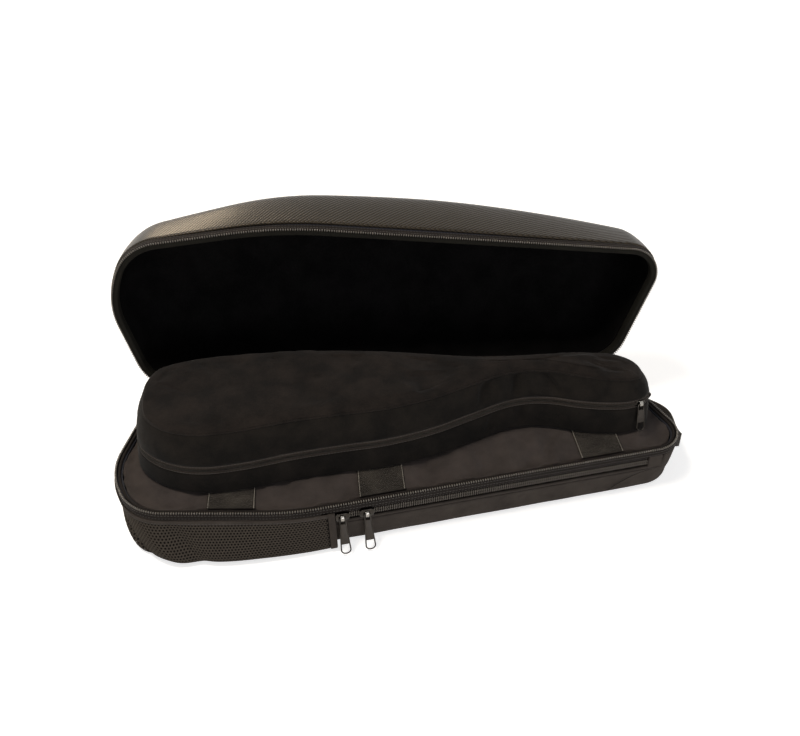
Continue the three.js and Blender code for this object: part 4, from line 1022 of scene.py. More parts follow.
def net_tree():
    """Makes a knitted net of a sheet of triangles: one six-sided hole round each point of the sheet."""
    tree, given, keys = new_tree("net_from_sheet", {
        "Sheet": "NodeSocketGeometry", "Hole share": "NodeSocketFloat", "Finish": "NodeSocketMaterial"})
    cells = add(tree, "GeometryNodeDualMesh", {0: given["Sheet"]})
    raised = add(tree, "GeometryNodeExtrudeMesh",
                 {"Mesh": cells.outputs[0], "Offset Scale": 0.0, "Individual": True}, mode="FACES")
    shrunk = add(tree, "GeometryNodeScaleElements", {
        "Geometry": raised.outputs["Mesh"], "Selection": raised.outputs["Top"],
        "Scale": given["Hole share"]}, domain="FACE")
    opened_cells = add(tree, "GeometryNodeDeleteGeometry", {
        "Geometry": shrunk.outputs[0], "Selection": raised.outputs["Top"]}, domain="FACE")
    close_tree(tree, opened_cells.outputs[0], given["Finish"])
    return tree, keys


def plain(host, name, made_by, **values):
    """Runs a geometry nodes tree on a host and keeps the result as a plain mesh object."""
    tree, keys = made_by
    modifier = host.modifiers.new("repeat", "NODES")
    modifier.node_group = tree
    for label, value in values.items():
        modifier[keys[label.replace("_", " ")]] = value
    bpy.context.view_layer.update()
    shown = host.evaluated_get(bpy.context.evaluated_depsgraph_get())
    mesh = bpy.data.meshes.new_from_object(shown)
    bpy.data.objects.remove(host)
    piece = bpy.data.objects.new(name, mesh)
    mesh.name = name
    bpy.context.scene.collection.objects.link(piece)
    return piece


PATH_TREE = path_tree()
GROUND_TREE = ground_tree()
NET_TREE = net_tree()


def repeat(name, lines, piece, spacing, finish, looseness=0.0):
    """Repeats a piece along lines, each given as points, their inward directions and whether it closes."""
    points, edges, inwards = [], [], []
    for places, directions, closed in lines:
        start = len(points)
        points.extend(np.asarray(places) * MM)
        inwards.extend(np.broadcast_to(directions, np.shape(places)))
        edges.extend((start + i, start + i + 1) for i in range(len(places) - 1))
        if closed:
            edges.append((len(points) - 1, start))
    mesh = bpy.data.meshes.new("path")
    mesh.from_pydata([tuple(p) for p in points], edges, [])
    layer = mesh.attributes.new("inwards", "FLOAT_VECTOR", "POINT")
    layer.data.foreach_set("vector", np.array(inwards, float).ravel())
    host = bpy.data.objects.new("path", mesh)
    bpy.context.scene.collection.objects.link(host)
    return plain(host, name, PATH_TREE, Piece=piece, Spacing=spacing * MM, Looseness=looseness, Finish=finish)


def sample(name, sections, closed_path=False):
    """A small piece to repeat, from rings of points in millimetres about its own origin."""
    sections = np.asarray(sections, float)
    count, width = sections.shape[:2]
    faces, corners = grid(sections, True, closed_path)
    if not closed_path:
        faces += [list(range(width))[::-1], [(count - 1) * width + i for i in range(width)]]
        corners += [[(0, 0)] * width] * 2
    piece = solid(name, sections.reshape(-1, 3), faces, corners, acetal)
    piece.hide_render = True
    SAMPLES.append(piece)
    return piece


SAMPLES = []


# Height, half width and half thickness of a tooth at each level, from its neck to its head
TOOTH_LEVELS = [(0, 0.5, 0.95), (1.1, 0.45, 1.1), (1.7, 0.75, 1.3), (2.5, 0.75, 1.3), (3.0, 0.5, 1.0)]
# Places of a hook's wire and how far it is bent over at each
HOOK_PATH = [(0, 0, 0), (0.05, 0, 0.42), (0.3, 0, 0.68), (0.6, 0, 0.5)]
HOOK_BENDS = (0, 0.25, 1.2, 2.4)
HOOK_WIRE = 0.16


def tooth():
    """Moulded tooth: a narrow neck with a wider rounded head."""
    rings = [[(-w, -t, z), (w, -t, z), (w, t, z), (-w, t, z)] for z, w, t in TOOTH_LEVELS]
    return sample("tooth", rings)


def coil_loop(name, half_height, half_depth, wire, lean):
    """One turn of a wound coil, seen along the zip, with its wire's own thickness."""
    turns, sides = 8, 5
    rings = []
    for k in range(turns):
        a = 2 * math.pi * k / turns
        centre = np.array([lean * math.sin(a), -half_depth * math.cos(a), half_height * math.sin(a)])
        out = np.array([0, -math.cos(a), math.sin(a)])
        ring = []
        for s in range(sides):
            b = 2 * math.pi * s / sides
            ring.append(centre + wire * (math.cos(b) * out + math.sin(b) * np.array([1, 0, 0])))
        rings.append(ring)
    return sample(name, rings, closed_path=True)


def stitch(name, length, width):
    """One stitch: a short thread that dips into the cloth at both ends."""
    rings = []
    for share in (-1, -0.7, 0, 0.7, 1):
        radius = width / 2 * (0.4 if abs(share) == 1 else 1)
        sink = 0.5 * width * share ** 4
        rings.append([(share * length / 2, sink - 0.6 * radius * math.cos(t), radius * math.sin(t))
                      for t in np.arange(6) * math.pi / 3])
    return sample(name, rings)


def hook():
    """One hook of the hook tape: a stem that bends over to one side."""
    up = np.array([0, 1, 0])
    rings = []
    for place, bend in zip(np.array(HOOK_PATH), HOOK_BENDS):
        side = np.array([math.cos(bend), 0, -math.sin(bend)])
        rings.append([place + HOOK_WIRE * (math.cos(a) * side + math.sin(a) * up)
                      for a in np.arange(4) * math.pi / 2])
    return sample("hook", rings)


TOOTH = tooth()
HOOK = hook()
POCKET_LOOP = coil_loop("pocket_coil_loop", 1.6, 0.95, 0.5, 0.5)
POUCH_LOOP = coil_loop("pouch_coil_loop", 0.72, 0.75, 0.32, 0.2)
SEAM_STITCH = stitch("seam_stitch", 3.0, 0.75)
COARSE_STITCH = stitch("coarse_stitch", 3.6, 1.0)
SEAM_PITCH = 4.2
SEAM_LOOSENESS = 0.05


def sew(name, lines, body, slot, pitch=SEAM_PITCH, finish=thread):
    """Rows of small stitches that ride on a body."""
    settle(repeat(name, lines, SEAM_STITCH, pitch, finish, SEAM_LOOSENESS), body, slot)


def plan_line(inset, height, places=None, lid=False, shape=None):
    """A line along the plan with its inward directions."""
    points = plan_ring(inset, height, lid)
    inner = plan_ring(inset + 1, height, lid)
    directions = inner - points
    directions /= np.linalg.norm(directions, axis=1)[:, None]
    ends = points + directions
    if shape:
        points, ends = shape(points), shape(ends)
    if lid:
        points, ends = opened(points), opened(ends)
    directions = ends - points
    places = list(range(len(points))) if places is None else places
    return points[places], directions[places], len(places) == len(points)


# Drawn half as coarse again as a real chain of this size, so that its teeth show in a picture
TOOTH_PITCH = 3.2
TOOTH_LOOSENESS = 0.04
TOOTH_INSET = 1.2
RIM_TOOTH_HEIGHT = 66.3
LID_TOOTH_HEIGHT = 3.4
TAPE_SEAM_INSET = -0.15
RIM_SEAMS = (59.6, 64.6)
LID_SEAMS = (6.0, 12.8)
VINYL_SEAM_HEIGHT = 18
VINYL_SEAM_INSET = -0.25
VINYL_SEAM_PITCH = 5.2
VINYL_SEAM_LOOSENESS = 0.08


def make_main_zip():
    line = plan_line(TOOTH_INSET, RIM_TOOTH_HEIGHT, ZIP_RUN)
    teeth = repeat("rim_zip_teeth", [line], TOOTH, TOOTH_PITCH, acetal, TOOTH_LOOSENESS)
    settle(teeth, "base", "main_teeth", "base_zip_teeth")
    # The lid's teeth point towards the base's, so their height runs the other way.
    line, inwards = plan_line(TOOTH_INSET, LID_TOOTH_HEIGHT, ZIP_RUN, lid=True)[:2]
    line = (line[::-1], inwards[::-1], False)
    teeth = repeat("lid_zip_row", [line], TOOTH, TOOTH_PITCH, acetal, TOOTH_LOOSENESS)
    settle(teeth, "lid", "main_teeth", "lid_zip_teeth")
    seams = [plan_line(TAPE_SEAM_INSET, height, ZIP_RUN) for height in RIM_SEAMS]
    sew("rim_tape_stitches", seams, "base", "dark_fabric")
    seams = [plan_line(TAPE_SEAM_INSET, height, ZIP_RUN, lid=True) for height in LID_SEAMS]
    sew("lid_tape_stitches", seams, "lid", "dark_fabric")
    ring, inner = (opened(lid_ring(inset, 0, lambda d: VINYL_SEAM_HEIGHT + 0 * d))
                   for inset in (VINYL_SEAM_INSET, VINYL_SEAM_INSET + 1))
    row = repeat("lid_vinyl_stitches", [(ring, inner - ring, True)], COARSE_STITCH, VINYL_SEAM_PITCH,
                 thread, VINYL_SEAM_LOOSENESS)
    settle(row, "lid", "vinyl")


# Front of the base

KNEE, FRONT_END = (np.array([PLAN_CORNERS[n][0] * CASE_LENGTH, PLAN_CORNERS[n][1] * CASE_DEPTH, 0.0])
                   for n in ("front_knee", "front_right"))
FRONT_ALONG = (FRONT_END - KNEE) / np.linalg.norm(FRONT_END - KNEE)
UP = np.array([0.0, 0.0, 1.0])
# Places along the front, from its knee
POCKET_ZIP = (52, 484)
# How far each piece runs past the zip's two ends
POCKET_TAPE_RUN = (-2, 6)
POCKET_WELT_RUN = (-4, 8)
# Where the tab lies, from the zip's right end
POCKET_TAB_RUN = (-3, 17)
SLIDER_PLACES = {"left": 62, "right": 94}
ZIP_MIDDLE = 46.8
# Sections: nearest, farthest, lowest, highest and the rounding of the edges
POCKET_TAPE = (4.5, 5.5, 36.3, 64, 0.45)
POCKET_TAB = (0.2, 4.2, 37, 58, 1.2)
# Depth, height and radius of the welt
POCKET_WELT = (2.1, 38.4, 2.1)
POCKET_COIL_DEPTH = 2.9
POCKET_COIL_HALF_SPAN = 2.1
# Drawn coarser than a real coil, so that it shows
POCKET_COIL_PITCH = 2.9
POCKET_SEAM_DEPTH = 4.35
POCKET_SEAMS = (42.0, 51.6)
# The dart: its start along the front, its run, its lowest height, its rise and its welt's radius
DART_START = 430
DART_RUN = 61
DART_LOW = 9
DART_RISE = 25
DART_WELT = 0.8
DART_SEAM_GAP = 2.6


def local(points, origin, along, up=UP):
    """Points of a piece's own frame, x along it, -y outwards and z up, in the case's frame."""
    along = np.asarray(along, float)
    return np.asarray(origin) + np.asarray(points, float) @ np.array([along, np.cross(up, along), up])


def front(points):
    return local(points, KNEE, FRONT_ALONG)


def inwards_from(along):
    """Direction into the case, square to a wall."""
    return local([(0, 1, 0)], (0, 0, 0), along)[0]


def prism(name, section, start, end, pieces, finish, place=front):
    """A band along x from a section of inward distances and heights."""
    sections = [[(x, inset, height) for inset, height in section] for x in np.linspace(start, end, pieces)]
    return path_body(name, place(np.array(sections)), finish)


def make_pocket_zip():
    start, end = POCKET_ZIP

    def line(depth, height):
        points = front([(x, depth, height) for x in np.linspace(start, end, 3)])
        return points, inwards_from(FRONT_ALONG), False

    ends = np.add(POCKET_ZIP, POCKET_TAPE_RUN)
    tape = prism("pocket_tape", band_section(*POCKET_TAPE), *ends, 60, zip_tape)
    settle(tape, "base", "zip_tape", "pocket_zip_tape")
    rows = [line(POCKET_COIL_DEPTH, ZIP_MIDDLE + side * POCKET_COIL_HALF_SPAN) for side in (-1, 1)]
    settle(repeat("pocket_coil", rows, POCKET_LOOP, POCKET_COIL_PITCH, coil), "base", "zip_coil",
           "pocket_zip_chain")
    ends = np.add(POCKET_ZIP, POCKET_WELT_RUN)
    welt = prism("pocket_welt", round_section(*POCKET_WELT, 12), *ends, 60, canvas)
    settle(welt, "base", "dark_fabric", "pocket_zip_welt")
    seams = [line(POCKET_SEAM_DEPTH, height) for height in POCKET_SEAMS]
    sew("pocket_tape_stitches", seams, "base", "zip_tape")
    ends = np.add(end, POCKET_TAB_RUN)
    tab = prism("pocket_zip_end_tab", band_section(*POCKET_TAB), *ends, 6, canvas)
    settle(tab, "base", "dark_fabric")


def make_dart():
    """Curved seam at the narrow end of the front: a thin welt with a row of stitches above it."""
    shares = np.linspace(0, 1, 24)
    climb = DART_LOW + DART_RISE * np.sin(shares * math.pi / 2)
    path = np.column_stack([DART_START + DART_RUN * shares, 0 * shares - 0.2, climb])
    turns = np.arange(8) * math.pi / 4
    ring = DART_WELT * np.column_stack([0 * turns, np.cos(turns), np.sin(turns)])
    welt = path_body("front_dart_welt", tucked(front(path[:, None] + ring)), canvas)
    settle(welt, "base", "dark_fabric")
    line = tucked(front(path + [0, -0.1, DART_SEAM_GAP]))
    sew("front_dart_stitches", [(line, inwards_from(FRONT_ALONG), False)], "base", "dark_fabric")


def slab(name, outline, near, far, edge, finish, place):
    """Plate with an outline in x and z and rounded edges, from near to far along y."""
    outline = np.asarray(outline, float)
    middle = outline.mean(axis=0)
    rings = []
    levels = [(near, edge), (near + edge * 0.3, edge * 0.3), (near + edge, 0),
              (far - edge, 0), (far - edge * 0.3, edge * 0.3), (far, edge)]
    for y, shrink in levels:
        reach = np.abs(outline - middle).max(axis=0)
        scaled = middle + (outline - middle) * (1 - shrink / reach)
        rings.append([(x, y, z) for x, z in scaled])
    return path_body(name, place(np.array(rings)), finish)


def rounded(width, low, high, radius, taper=1.0):
    """Outline of a rectangle with rounded corners, its top as wide as taper says."""
    points = []
    for cx, cz, turn in ((1, 1, 0), (-1, 1, 1), (-1, -1, 2), (1, -1, 3)):
        share = taper if cz > 0 else 1
        x, z = cx * (width * share / 2 - radius), (high - radius) if cz > 0 else (low + radius)
        for k in range(5):
            angle = math.pi / 2 * (turn + k / 4)
            points.append((x + radius * math.cos(angle), z + radius * math.sin(angle)))
    return points


def tube(name, path, radius, finish, place, sides=8):
    """Round wire along a closed path in x and z."""
    path = np.asarray(path, float)
    turns = np.arange(sides) * 2 * math.pi / sides
    rings = []
    for i, p in enumerate(path):
        along = path[(i + 1) % len(path)] - path[i - 1]
        along /= np.linalg.norm(along)
        side = np.array([along[1], -along[0]])
        rings.append([(p[0] + radius * math.cos(a) * side[0], radius * math.sin(a),
                       p[1] + radius * math.cos(a) * side[1]) for a in turns])
    rings = place(np.array(rings))
    faces, corners = grid(rings, True, True)
    return solid(name, rings.reshape(-1, 3), faces, corners, finish)


# Half span, rise, width and thickness of the strip that bridges a slider
BRIDGE = (4.3, 4.2, 4.6, 1.5)


def arch(name, half_span, rise, width, thickness, finish, place):
    """Bridge over a slider: a strip of metal that arches along z, standing out towards -y."""
    sections = []
    for k in range(13):
        turn = math.pi * k / 12
        z, y = -half_span * math.cos(turn), -rise * min(math.sin(turn) ** 0.55, 1)
        out = np.array([-math.sin(turn), -math.cos(turn)])
        ring = []
        for x, d in rounded(width, -thickness / 2, thickness / 2, thickness * 0.42):
            ring.append((x, y + out[0] * d, z + out[1] * d))
        sections.append(ring)
    return path_body(name, place(np.array(sections)), finish)


# Sizes of a slider: its length, height and depth
FRONT_SLIDER = (19, 12.4, 4.4)
POUCH_SLIDER = (13, 9, 2.2)


def make_slider(names, rider, place, size):
    """Zip slider: a shouldered body and the bridge that its pull hangs from."""
    length, height, depth = size
    half = [(-length / 2, height * 0.3), (-length * 0.34, height / 2), (length * 0.3, height / 2),
            (length / 2, height * 0.4)]
    outline = [(x, -z) for x, z in half] + half[::-1]
    piece = slab(names[0] + "_metal", outline, 0, depth, 0.7, dark_nickel, place)
    settle(piece, rider, "bright_metal", names[0])
    # The crown takes the lighter copy of the plating: a painted highlight.
    piece = arch(names[1] + "_metal", *BRIDGE, nickel, place)
    settle(piece, rider, "bright_metal", names[1])


WIRE_RADIUS = 0.95
EYE_RADIUS = 4.5
EYE_MARGIN = 0.9
# The plate's side margin, height over the eye, top and corner radius, and how much it narrows
PLATE = (2.6, 12.5, -7.5, 2.2)
PLATE_TAPER = 0.74
PLATE_HALF = 0.6
PLATE_EDGE = 0.35


def make_pull(name, length, top, bottom, lean, place_of):
    """Pull: a wire frame round a dark plate, with an open eye below it."""
    tilt = math.radians(lean)

    def place(points):
        x, y, z = np.moveaxis(np.asarray(points, float), -1, 0)
        out, down = z * math.sin(tilt) + y * math.cos(tilt), z * math.cos(tilt) - y * math.sin(tilt)
        return place_of(np.stack([x, out, down], axis=-1))

    radius = WIRE_RADIUS
    low = -length + EYE_MARGIN + radius
    half = bottom / 2 - radius
    right = [(top / 2 - radius, 0.0), (top / 2 - radius * 0.9, -length * 0.25), (half, low + EYE_RADIUS + 1)]
    eye = [(half * math.cos(a), low + EYE_RADIUS + EYE_RADIUS * math.sin(a))
           for a in -np.arange(0, 7) * math.pi / 6]
    wire = right + eye + [(-x, z) for x, z in right[::-1]]
    piece = tube(name + "_wire", wire, radius, dark_nickel, place)
    settle(piece, name, "bright_metal", name)
    margin, foot, head, corner = PLATE
    plate = rounded(bottom - margin, low + foot, head, corner, taper=PLATE_TAPER)
    piece = slab(name + "_plate", plate, -PLATE_HALF, PLATE_HALF, PLATE_EDGE, lacquer, place)
    settle(piece, name, "bright_metal")


# Depth of a front slider's face and of its pull's wire
SLIDER_FACE = -0.5
SLIDER_HANG = 1.9


def make_front_sliders():
    for side, at in SLIDER_PLACES.items():
        def place(points, at=at):
            return front(np.asarray(points, float) + [at, SLIDER_FACE, ZIP_MIDDLE])

        def hang(points, at=at):
            return front(np.asarray(points, float) + [at, SLIDER_FACE - SLIDER_HANG, ZIP_MIDDLE])

        names = (f"front_slider_{side}", f"front_slider_crown_{side}")
        make_slider(names, f"front_slider_{side}", place, FRONT_SLIDER)
        make_pull(f"front_pull_{side}", 49, 9.6, 14, 24, hang)


# Mesh pocket

MESH_BULGES = [(0, 2), (0.2, 7), (0.45, 27), (0.65, 24), (0.85, 12), (1, 9)]
POCKET_PROFILE = [(1, 0), (0.8, 0.22), (0.55, 0.58), (0.3, 0.9), (0.12, 1), (0.03, 0.72), (0, 0.3)]
MESH_HEIGHT = 56
MESH_REACH = 20
MESH_TOP = 57.5
MESH_FLOOR = 1.2
# How far the net's middle stands over the pocket's floor and out from the wall
NET_LIFT = 0.6
NET_OUT = 1.5
# Folds of the net: size outwards, share along, lean with the way down, and width
NET_FOLDS = [(4.2, 0.3, 0.16, 0.045), (-4.6, 0.41, 0.14, 0.035)]
# The pleat at the lower left: share along, lean, and size, place and width of its ridge and its groove
PLEAT_PLACE = 0.23
PLEAT_LEAN = 0.3
PLEAT_RIDGE = (4.5, -0.07, 0.045)
PLEAT_GROOVE = (-9, 0, 0.017)
MOUTH_RUN = 45
MOUTH_TAPE = 9
# How far the mouth's tape reaches past the net's end
MOUTH_OVERLAP = 7.9
HOLE_SHARE = 0.6
NET_PITCH = 4.1
NET_ROWS = 20
NET_EDGES = (0.04, 0.97)
NET_THICKNESS = 0.6


def pocket_surface():
    """The net pocket's middle surface: points by share of its run and share of its way down."""
    outline, outer = plan(0)[0], plan(-1)[0]
    places = span(MARKS["left"][0] + 3, MARKS["front_knee"][1], PLAN_COUNT)
    points = np.array([outline[i] for i in places] + [(KNEE + FRONT_ALONG * MOUTH_RUN)[:2]])
    out = np.array([outer[i] - outline[i] for i in places])
    out = np.vstack([out, out[-1:]])
    run = np.concatenate([[0], np.cumsum(np.linalg.norm(np.diff(points, axis=0), axis=1))])
    shares = run / run[-1]
    profile = np.array(POCKET_PROFILE)
    steps = np.diff(profile, axis=0) * [MESH_HEIGHT, MESH_REACH]
    drop = np.concatenate([[0], np.cumsum(np.hypot(*steps.T))])
    drop /= drop[-1]

    def at(along, down, away=0.0):
        """Point at a share of the run and of the way down, moved outwards by away."""
        along, down = np.broadcast_arrays(np.asarray(along, float), np.asarray(down, float))
        x, y = (np.interp(along, shares, points[:, k]) for k in (0, 1))
        ox, oy = (np.interp(along, shares, out[:, k]) for k in (0, 1))
        size = np.hypot(ox, oy)
        places_at, sizes = np.array(MESH_BULGES).T
        near = (-0.05, -0.02, 0, 0.02, 0.05)
        bulge = sum(np.interp(np.clip(along + d, 0, 1), places_at, sizes) for d in near) / len(near)
        rise = np.interp(down, drop, profile[:, 0])
        reach = sum(np.interp(np.clip(down + d, 0, 1), drop, profile[:, 1]) for d in (-0.06, 0, 0.06)) / 3
        fold = sum(size * np.exp(-((along - at_share - lean * down) / width) ** 2)
                   for size, at_share, lean, width in NET_FOLDS) * np.sin(math.pi * down)
        # Pleat at the lower left, with the cloth below it standing out
        pleat = along - PLEAT_PLACE - PLEAT_LEAN * (down - 0.5)
        pleated = sum(size * np.exp(-((pleat - middle) / width) ** 2)
                      for size, middle, width in (PLEAT_RIDGE, PLEAT_GROOVE))
        fold += pleated * np.clip(4 * down - 1.2, 0, 1) * np.clip(9 - 9 * down, 0, 1)
        away = NET_OUT + away + bulge * reach + fold
        height = MESH_FLOOR + NET_LIFT + (MESH_TOP - MESH_FLOOR - NET_LIFT) * rise
        return tucked(np.stack([x + ox / size * away, y + oy / size * away, height], axis=-1))

    return at, run[-1]


def net_cut(at, cloth_share):
    """Width, length and area of a cut, measured on the pocket's own surface, of which a share is cloth."""
    downs, alongs = np.linspace(*NET_EDGES, 30), np.linspace(0, 1, 120)
    places = at(alongs[:, None], downs[None])
    along, down = places[1:, :-1] - places[:-1, :-1], places[:-1, 1:] - places[:-1, :-1]
    width = np.linalg.norm(np.diff(places, axis=1), axis=2).sum(axis=1).max()
    length = np.linalg.norm(np.diff(places, axis=0), axis=2).sum(axis=0).max()
    area = np.linalg.norm(np.cross(along, down), axis=2).sum()
    return (width * MM, length * MM), area * MM * MM * cloth_share


# Pieces of the pocket: how far they reach down it, and how far they stand out from the net's middle
HEMS = {"pocket_top_hem": (0.0, 0.075), "pocket_bottom_hem": (0.95, 1.0)}
HEM_DEPTHS = (0.7, -0.7)
BACKING_DEPTHS = (-1.2, -1.9)
HEM_SEAM = 0.055
HEM_SEAM_OUT = 0.75
POCKET_STEPS = 90


def pocket_band(name, at, downs, depths, finish):
    """A layer of the pocket between two depths, along its whole run."""
    sections = []
    for share in np.linspace(0, 1, POCKET_STEPS):
        outside = [at(share, down, depths[0]) for down in downs]
        inside = [at(share, down, depths[1]) for down in downs[::-1]]
        sections.append(outside + inside)
    return path_body(name, sections, finish)


def make_net(at, length):
    """The knitted net: a sheet of triangles that a tree turns into six-sided holes."""
    columns = int(length / NET_PITCH)
    top, bottom = NET_EDGES
    points, faces = [], []
    for r in range(NET_ROWS):
        down = top + (bottom - top) * r / (NET_ROWS - 1)
        shift = 0.5 * (r % 2)
        for c in range(columns):
            points.append(at(min((c + shift) / (columns - 0.5), 1), down))
    for r in range(NET_ROWS - 1):
        for c in range(columns - 1):
            a, b = r * columns + c, r * columns + c + 1
            d, e = a + columns, b + columns
            faces += [(a, d, b), (b, d, e)] if r % 2 == 0 else [(a, e, b), (a, d, e)]
    sheet = solid("sheet", points, faces, [[(0, 0)] * 3 for _ in faces], net, closed=False)
    knit = plain(sheet, "pocket_net", NET_TREE, Hole_share=HOLE_SHARE, Finish=net)
    thick = knit.modifiers.new("thread", "SOLIDIFY")
    thick.thickness = NET_THICKNESS * MM
    thick.offset = 0
    return settle(knit, "base", "mesh", "mesh_pocket")


def make_pocket():
    at, length = pocket_surface()
    knit = make_net(at, length)
    for name, reach in HEMS.items():
        hem = pocket_band(name, at, np.linspace(*reach, 6), HEM_DEPTHS, canvas)
        settle(hem, "base", "dark_fabric")
    # A back layer of the spacer mesh. Its dark colour also stands in for the shade seen through the net's
    # holes.
    backing = pocket_band("pocket_net_backing", at, np.linspace(*NET_EDGES, 12), BACKING_DEPTHS, suede_painted_shade)
    settle(backing, "base", "mesh")
    flat, area = net_cut(at, 1)
    flat, area = net_cut(at, 1 - HOLE_SHARE ** 2)
    line, outer = (np.array([at(share, HEM_SEAM, out) for share in np.linspace(0, 1, POCKET_STEPS)])
                   for out in (HEM_SEAM_OUT, HEM_SEAM_OUT + 1))
    sew("pocket_hem_stitches", [(line, line - outer, False)], "base", "dark_fabric")
    make_pocket_binding()


# The binding's height over the floor, how far it stands out at its foot, how much it bulges, and its
# half thickness
BINDING_LIFT = 0.4
BINDING_OUT = 1.6
BINDING_BULGE = 9
BINDING_HALF = 1.5
# Below this height the binding reaches back to the wall, this far from the pocket's face
BINDING_FOOT = 14
BINDING_FOOT_RUN = 10
BINDING_WALL_GAP = 2.4


def make_pocket_binding():
    """Tape folded over the net at the pocket's mouth."""
    profile = np.array(POCKET_PROFILE)
    middle = MOUTH_RUN + MOUTH_OVERLAP - MOUTH_TAPE / 2
    sections = []
    for share in np.linspace(0, 1, 25):
        place = share * (len(profile) - 1)
        rise, reach = (np.interp(place, range(len(profile)), profile[:, k]) for k in (0, 1))
        height = MESH_FLOOR + (MESH_TOP - MESH_FLOOR) * rise + BINDING_LIFT
        away = BINDING_OUT + BINDING_BULGE * reach
        foot = np.clip((BINDING_FOOT - height) / BINDING_FOOT_RUN, 0, 1)
        low = -BINDING_HALF - foot * (away - BINDING_WALL_GAP)
        sections.append([(middle + x, -(away + y), height)
                         for x, y in rounded(MOUTH_TAPE, low, BINDING_HALF, 1.2)])
    piece = path_body("pocket_mouth_binding", front(np.array(sections)), canvas)
    settle(piece, "base", "dark_fabric", "mesh_pocket_binding")


# Webbing

# Where each strap's frame stands on the case's end or the pouch's, and the direction of its x
END_ORIGIN = (364.754, 26.012, 45)
END_ALONG = (-0.33262, 0.94306, 0)
LOOP_ORIGIN = (335.221, 27.964, 67.8)
LOOP_ALONG = (-0.29964, 0.95405, 0)
# Straps: width, thickness, how far they stand off at their ends, and how far they bow out
HANDLE_WEBBING = (24, 2.6)
HANDLE_SPAN = 104
HANDLE_OUT = 2.8 + 1.3
HANDLE_BOW = 16
HANDLE_TAB = 22
TAB_MIDDLE = 41
# The crossed box that is sewn through each tab
TAB_BOX = [(-7.5, -9), (7.5, -9), (7.5, 9), (-7.5, 9), (-7.5, -9), (7.5, 9)]
TAB_SEAM_OUT = 5.6
TAB_SEAM_PITCH = 3.6
LOOP_WEBBING = (15, 2)
LOOP_HEIGHTS = (9, 36)
LOOP_OUT = 1.4
LOOP_BOW = 12


def band_along(name, path, width, thickness, side, finish):
    """Strap that follows a path: side is the direction of its width."""
    path = np.asarray(path, float)
    along = np.gradient(path, axis=0)
    along /= np.linalg.norm(along, axis=1)[:, None]
    side = np.asarray(side, float)
    sections = []
    outline = rounded(width, -thickness / 2, thickness / 2, thickness * 0.45)
    for p, t in zip(path, along):
        up = np.cross(side, t)
        up /= np.linalg.norm(up)
        sections.append([p + x * side + y * up for x, y in outline])
    return path_body(name, sections, finish)


def handle_bow(share):
    """How far the handle's strap stands out at a share of its span."""
    return HANDLE_BOW * math.sin(math.pi * share) ** 2


def make_handle():
    def place(points):
        return local(points, END_ORIGIN, END_ALONG)

    path = [((share - 0.5) * HANDLE_SPAN, -(HANDLE_OUT + handle_bow(share)), 0)
            for share in np.linspace(0, 1, 41)]
    strap = band_along("end_handle_webbing", place(np.array(path)), *HANDLE_WEBBING, (0, 0, 1), webbing)
    settle(strap, "base", "webbing", "end_handle_strap")
    seams = []
    for end, sign in (("front", -1), ("back", 1)):
        middle = sign * TAB_MIDDLE
        outline = [(x + middle, z) for x, z in rounded(HANDLE_TAB, -12, 12, 1.5)]
        piece = slab(f"end_handle_{end}_patch", outline, -2.5, -0.3, 0.6, webbing, place)
        settle(piece, "base", "webbing", f"end_handle_tab_{end}")
        for (x0, z0), (x1, z1) in zip(TAB_BOX, TAB_BOX[1:]):
            line = []
            for share in np.linspace(0, 1, 3):
                x = middle + x0 + (x1 - x0) * share
                out = TAB_SEAM_OUT + handle_bow(x / HANDLE_SPAN + 0.5)
                line.append((x, -out, z0 + (z1 - z0) * share))
            seams.append((place(line), inwards_from(END_ALONG), False))
    sew("end_handle_stitches", seams, "base", "webbing", TAB_SEAM_PITCH, pale_thread)


ZIP_SLOPE = (ZIP_HEIGHTS[1] - ZIP_HEIGHTS[0]) / POUCH_LENGTH


def make_loop():
    low, high = LOOP_HEIGHTS
    middle = ZIP_HEIGHTS[0] + ZIP_SLOPE * (LOOP_ORIGIN[0] - POUCH_LEFT)
    path = []
    for share in np.linspace(0, 1, 33):
        height = low + (high - low) * share
        out = FOOT_SPREAD * (1 - height / middle) + LOOP_OUT + LOOP_BOW * math.sin(math.pi * share) ** 2
        path.append((0, -out, height))
    path = local(np.array(path), LOOP_ORIGIN, LOOP_ALONG)
    piece = band_along("pouch_loop_webbing", path, *LOOP_WEBBING, LOOP_ALONG, webbing)
    settle(piece, "pouch", "webbing", "pouch_loop")


# Panel and hook strips

STRIP_WIDTH = 60
STRIP_INSET = 1.6
STRIPS = {"left": -0.297, "middle": -0.046, "right": 0.345}
STRIP_GRID = (24, 90)
STRIP_BOTTOM = 66.3
STRIP_TOP = 67.05
STRIP_RAGGED = 0.5
STRIP_UNEVEN = 0.12
HOOK_MARGIN = 3.0
HOOK_COLUMNS = 26
HOOK_PITCH = 2.1
HOOK_FOOT = 67.0
HOOK_SCATTER = 0.006
HOOK_LEAN = 0.25
STRIP_SEAM_MARGIN = 1.4
STRIP_SEAM_HEIGHT = 67.25
STRIP_SEAM_PITCH = 3.4
STRIP_SEAM_LOOSENESS = 0.3


def span_at(outline, x):
    """Lowest and highest y of a closed outline at x."""
    following = np.roll(outline, -1, axis=0)
    cut = (outline[:, 0] - x) * (following[:, 0] - x) <= 0
    a, b = outline[cut], following[cut]
    y = a[:, 1] + (b[:, 1] - a[:, 1]) * (x - a[:, 0]) / (b[:, 0] - a[:, 0] + 1e-9)
    return y.min(), y.max()


def strip_corners(share, margin=0.0):
    outline = plan(PANEL_INSET + STRIP_INSET)[0]
    left, right = share * CASE_LENGTH - STRIP_WIDTH / 2, share * CASE_LENGTH + STRIP_WIDTH / 2
    a, b = span_at(outline, left), span_at(outline, right)
    slant = margin * 1.2
    return [(left + margin, a[0] + slant), (right - margin, b[0] + slant),
            (right - margin, b[1] - slant), (left + margin, a[1] - slant)]


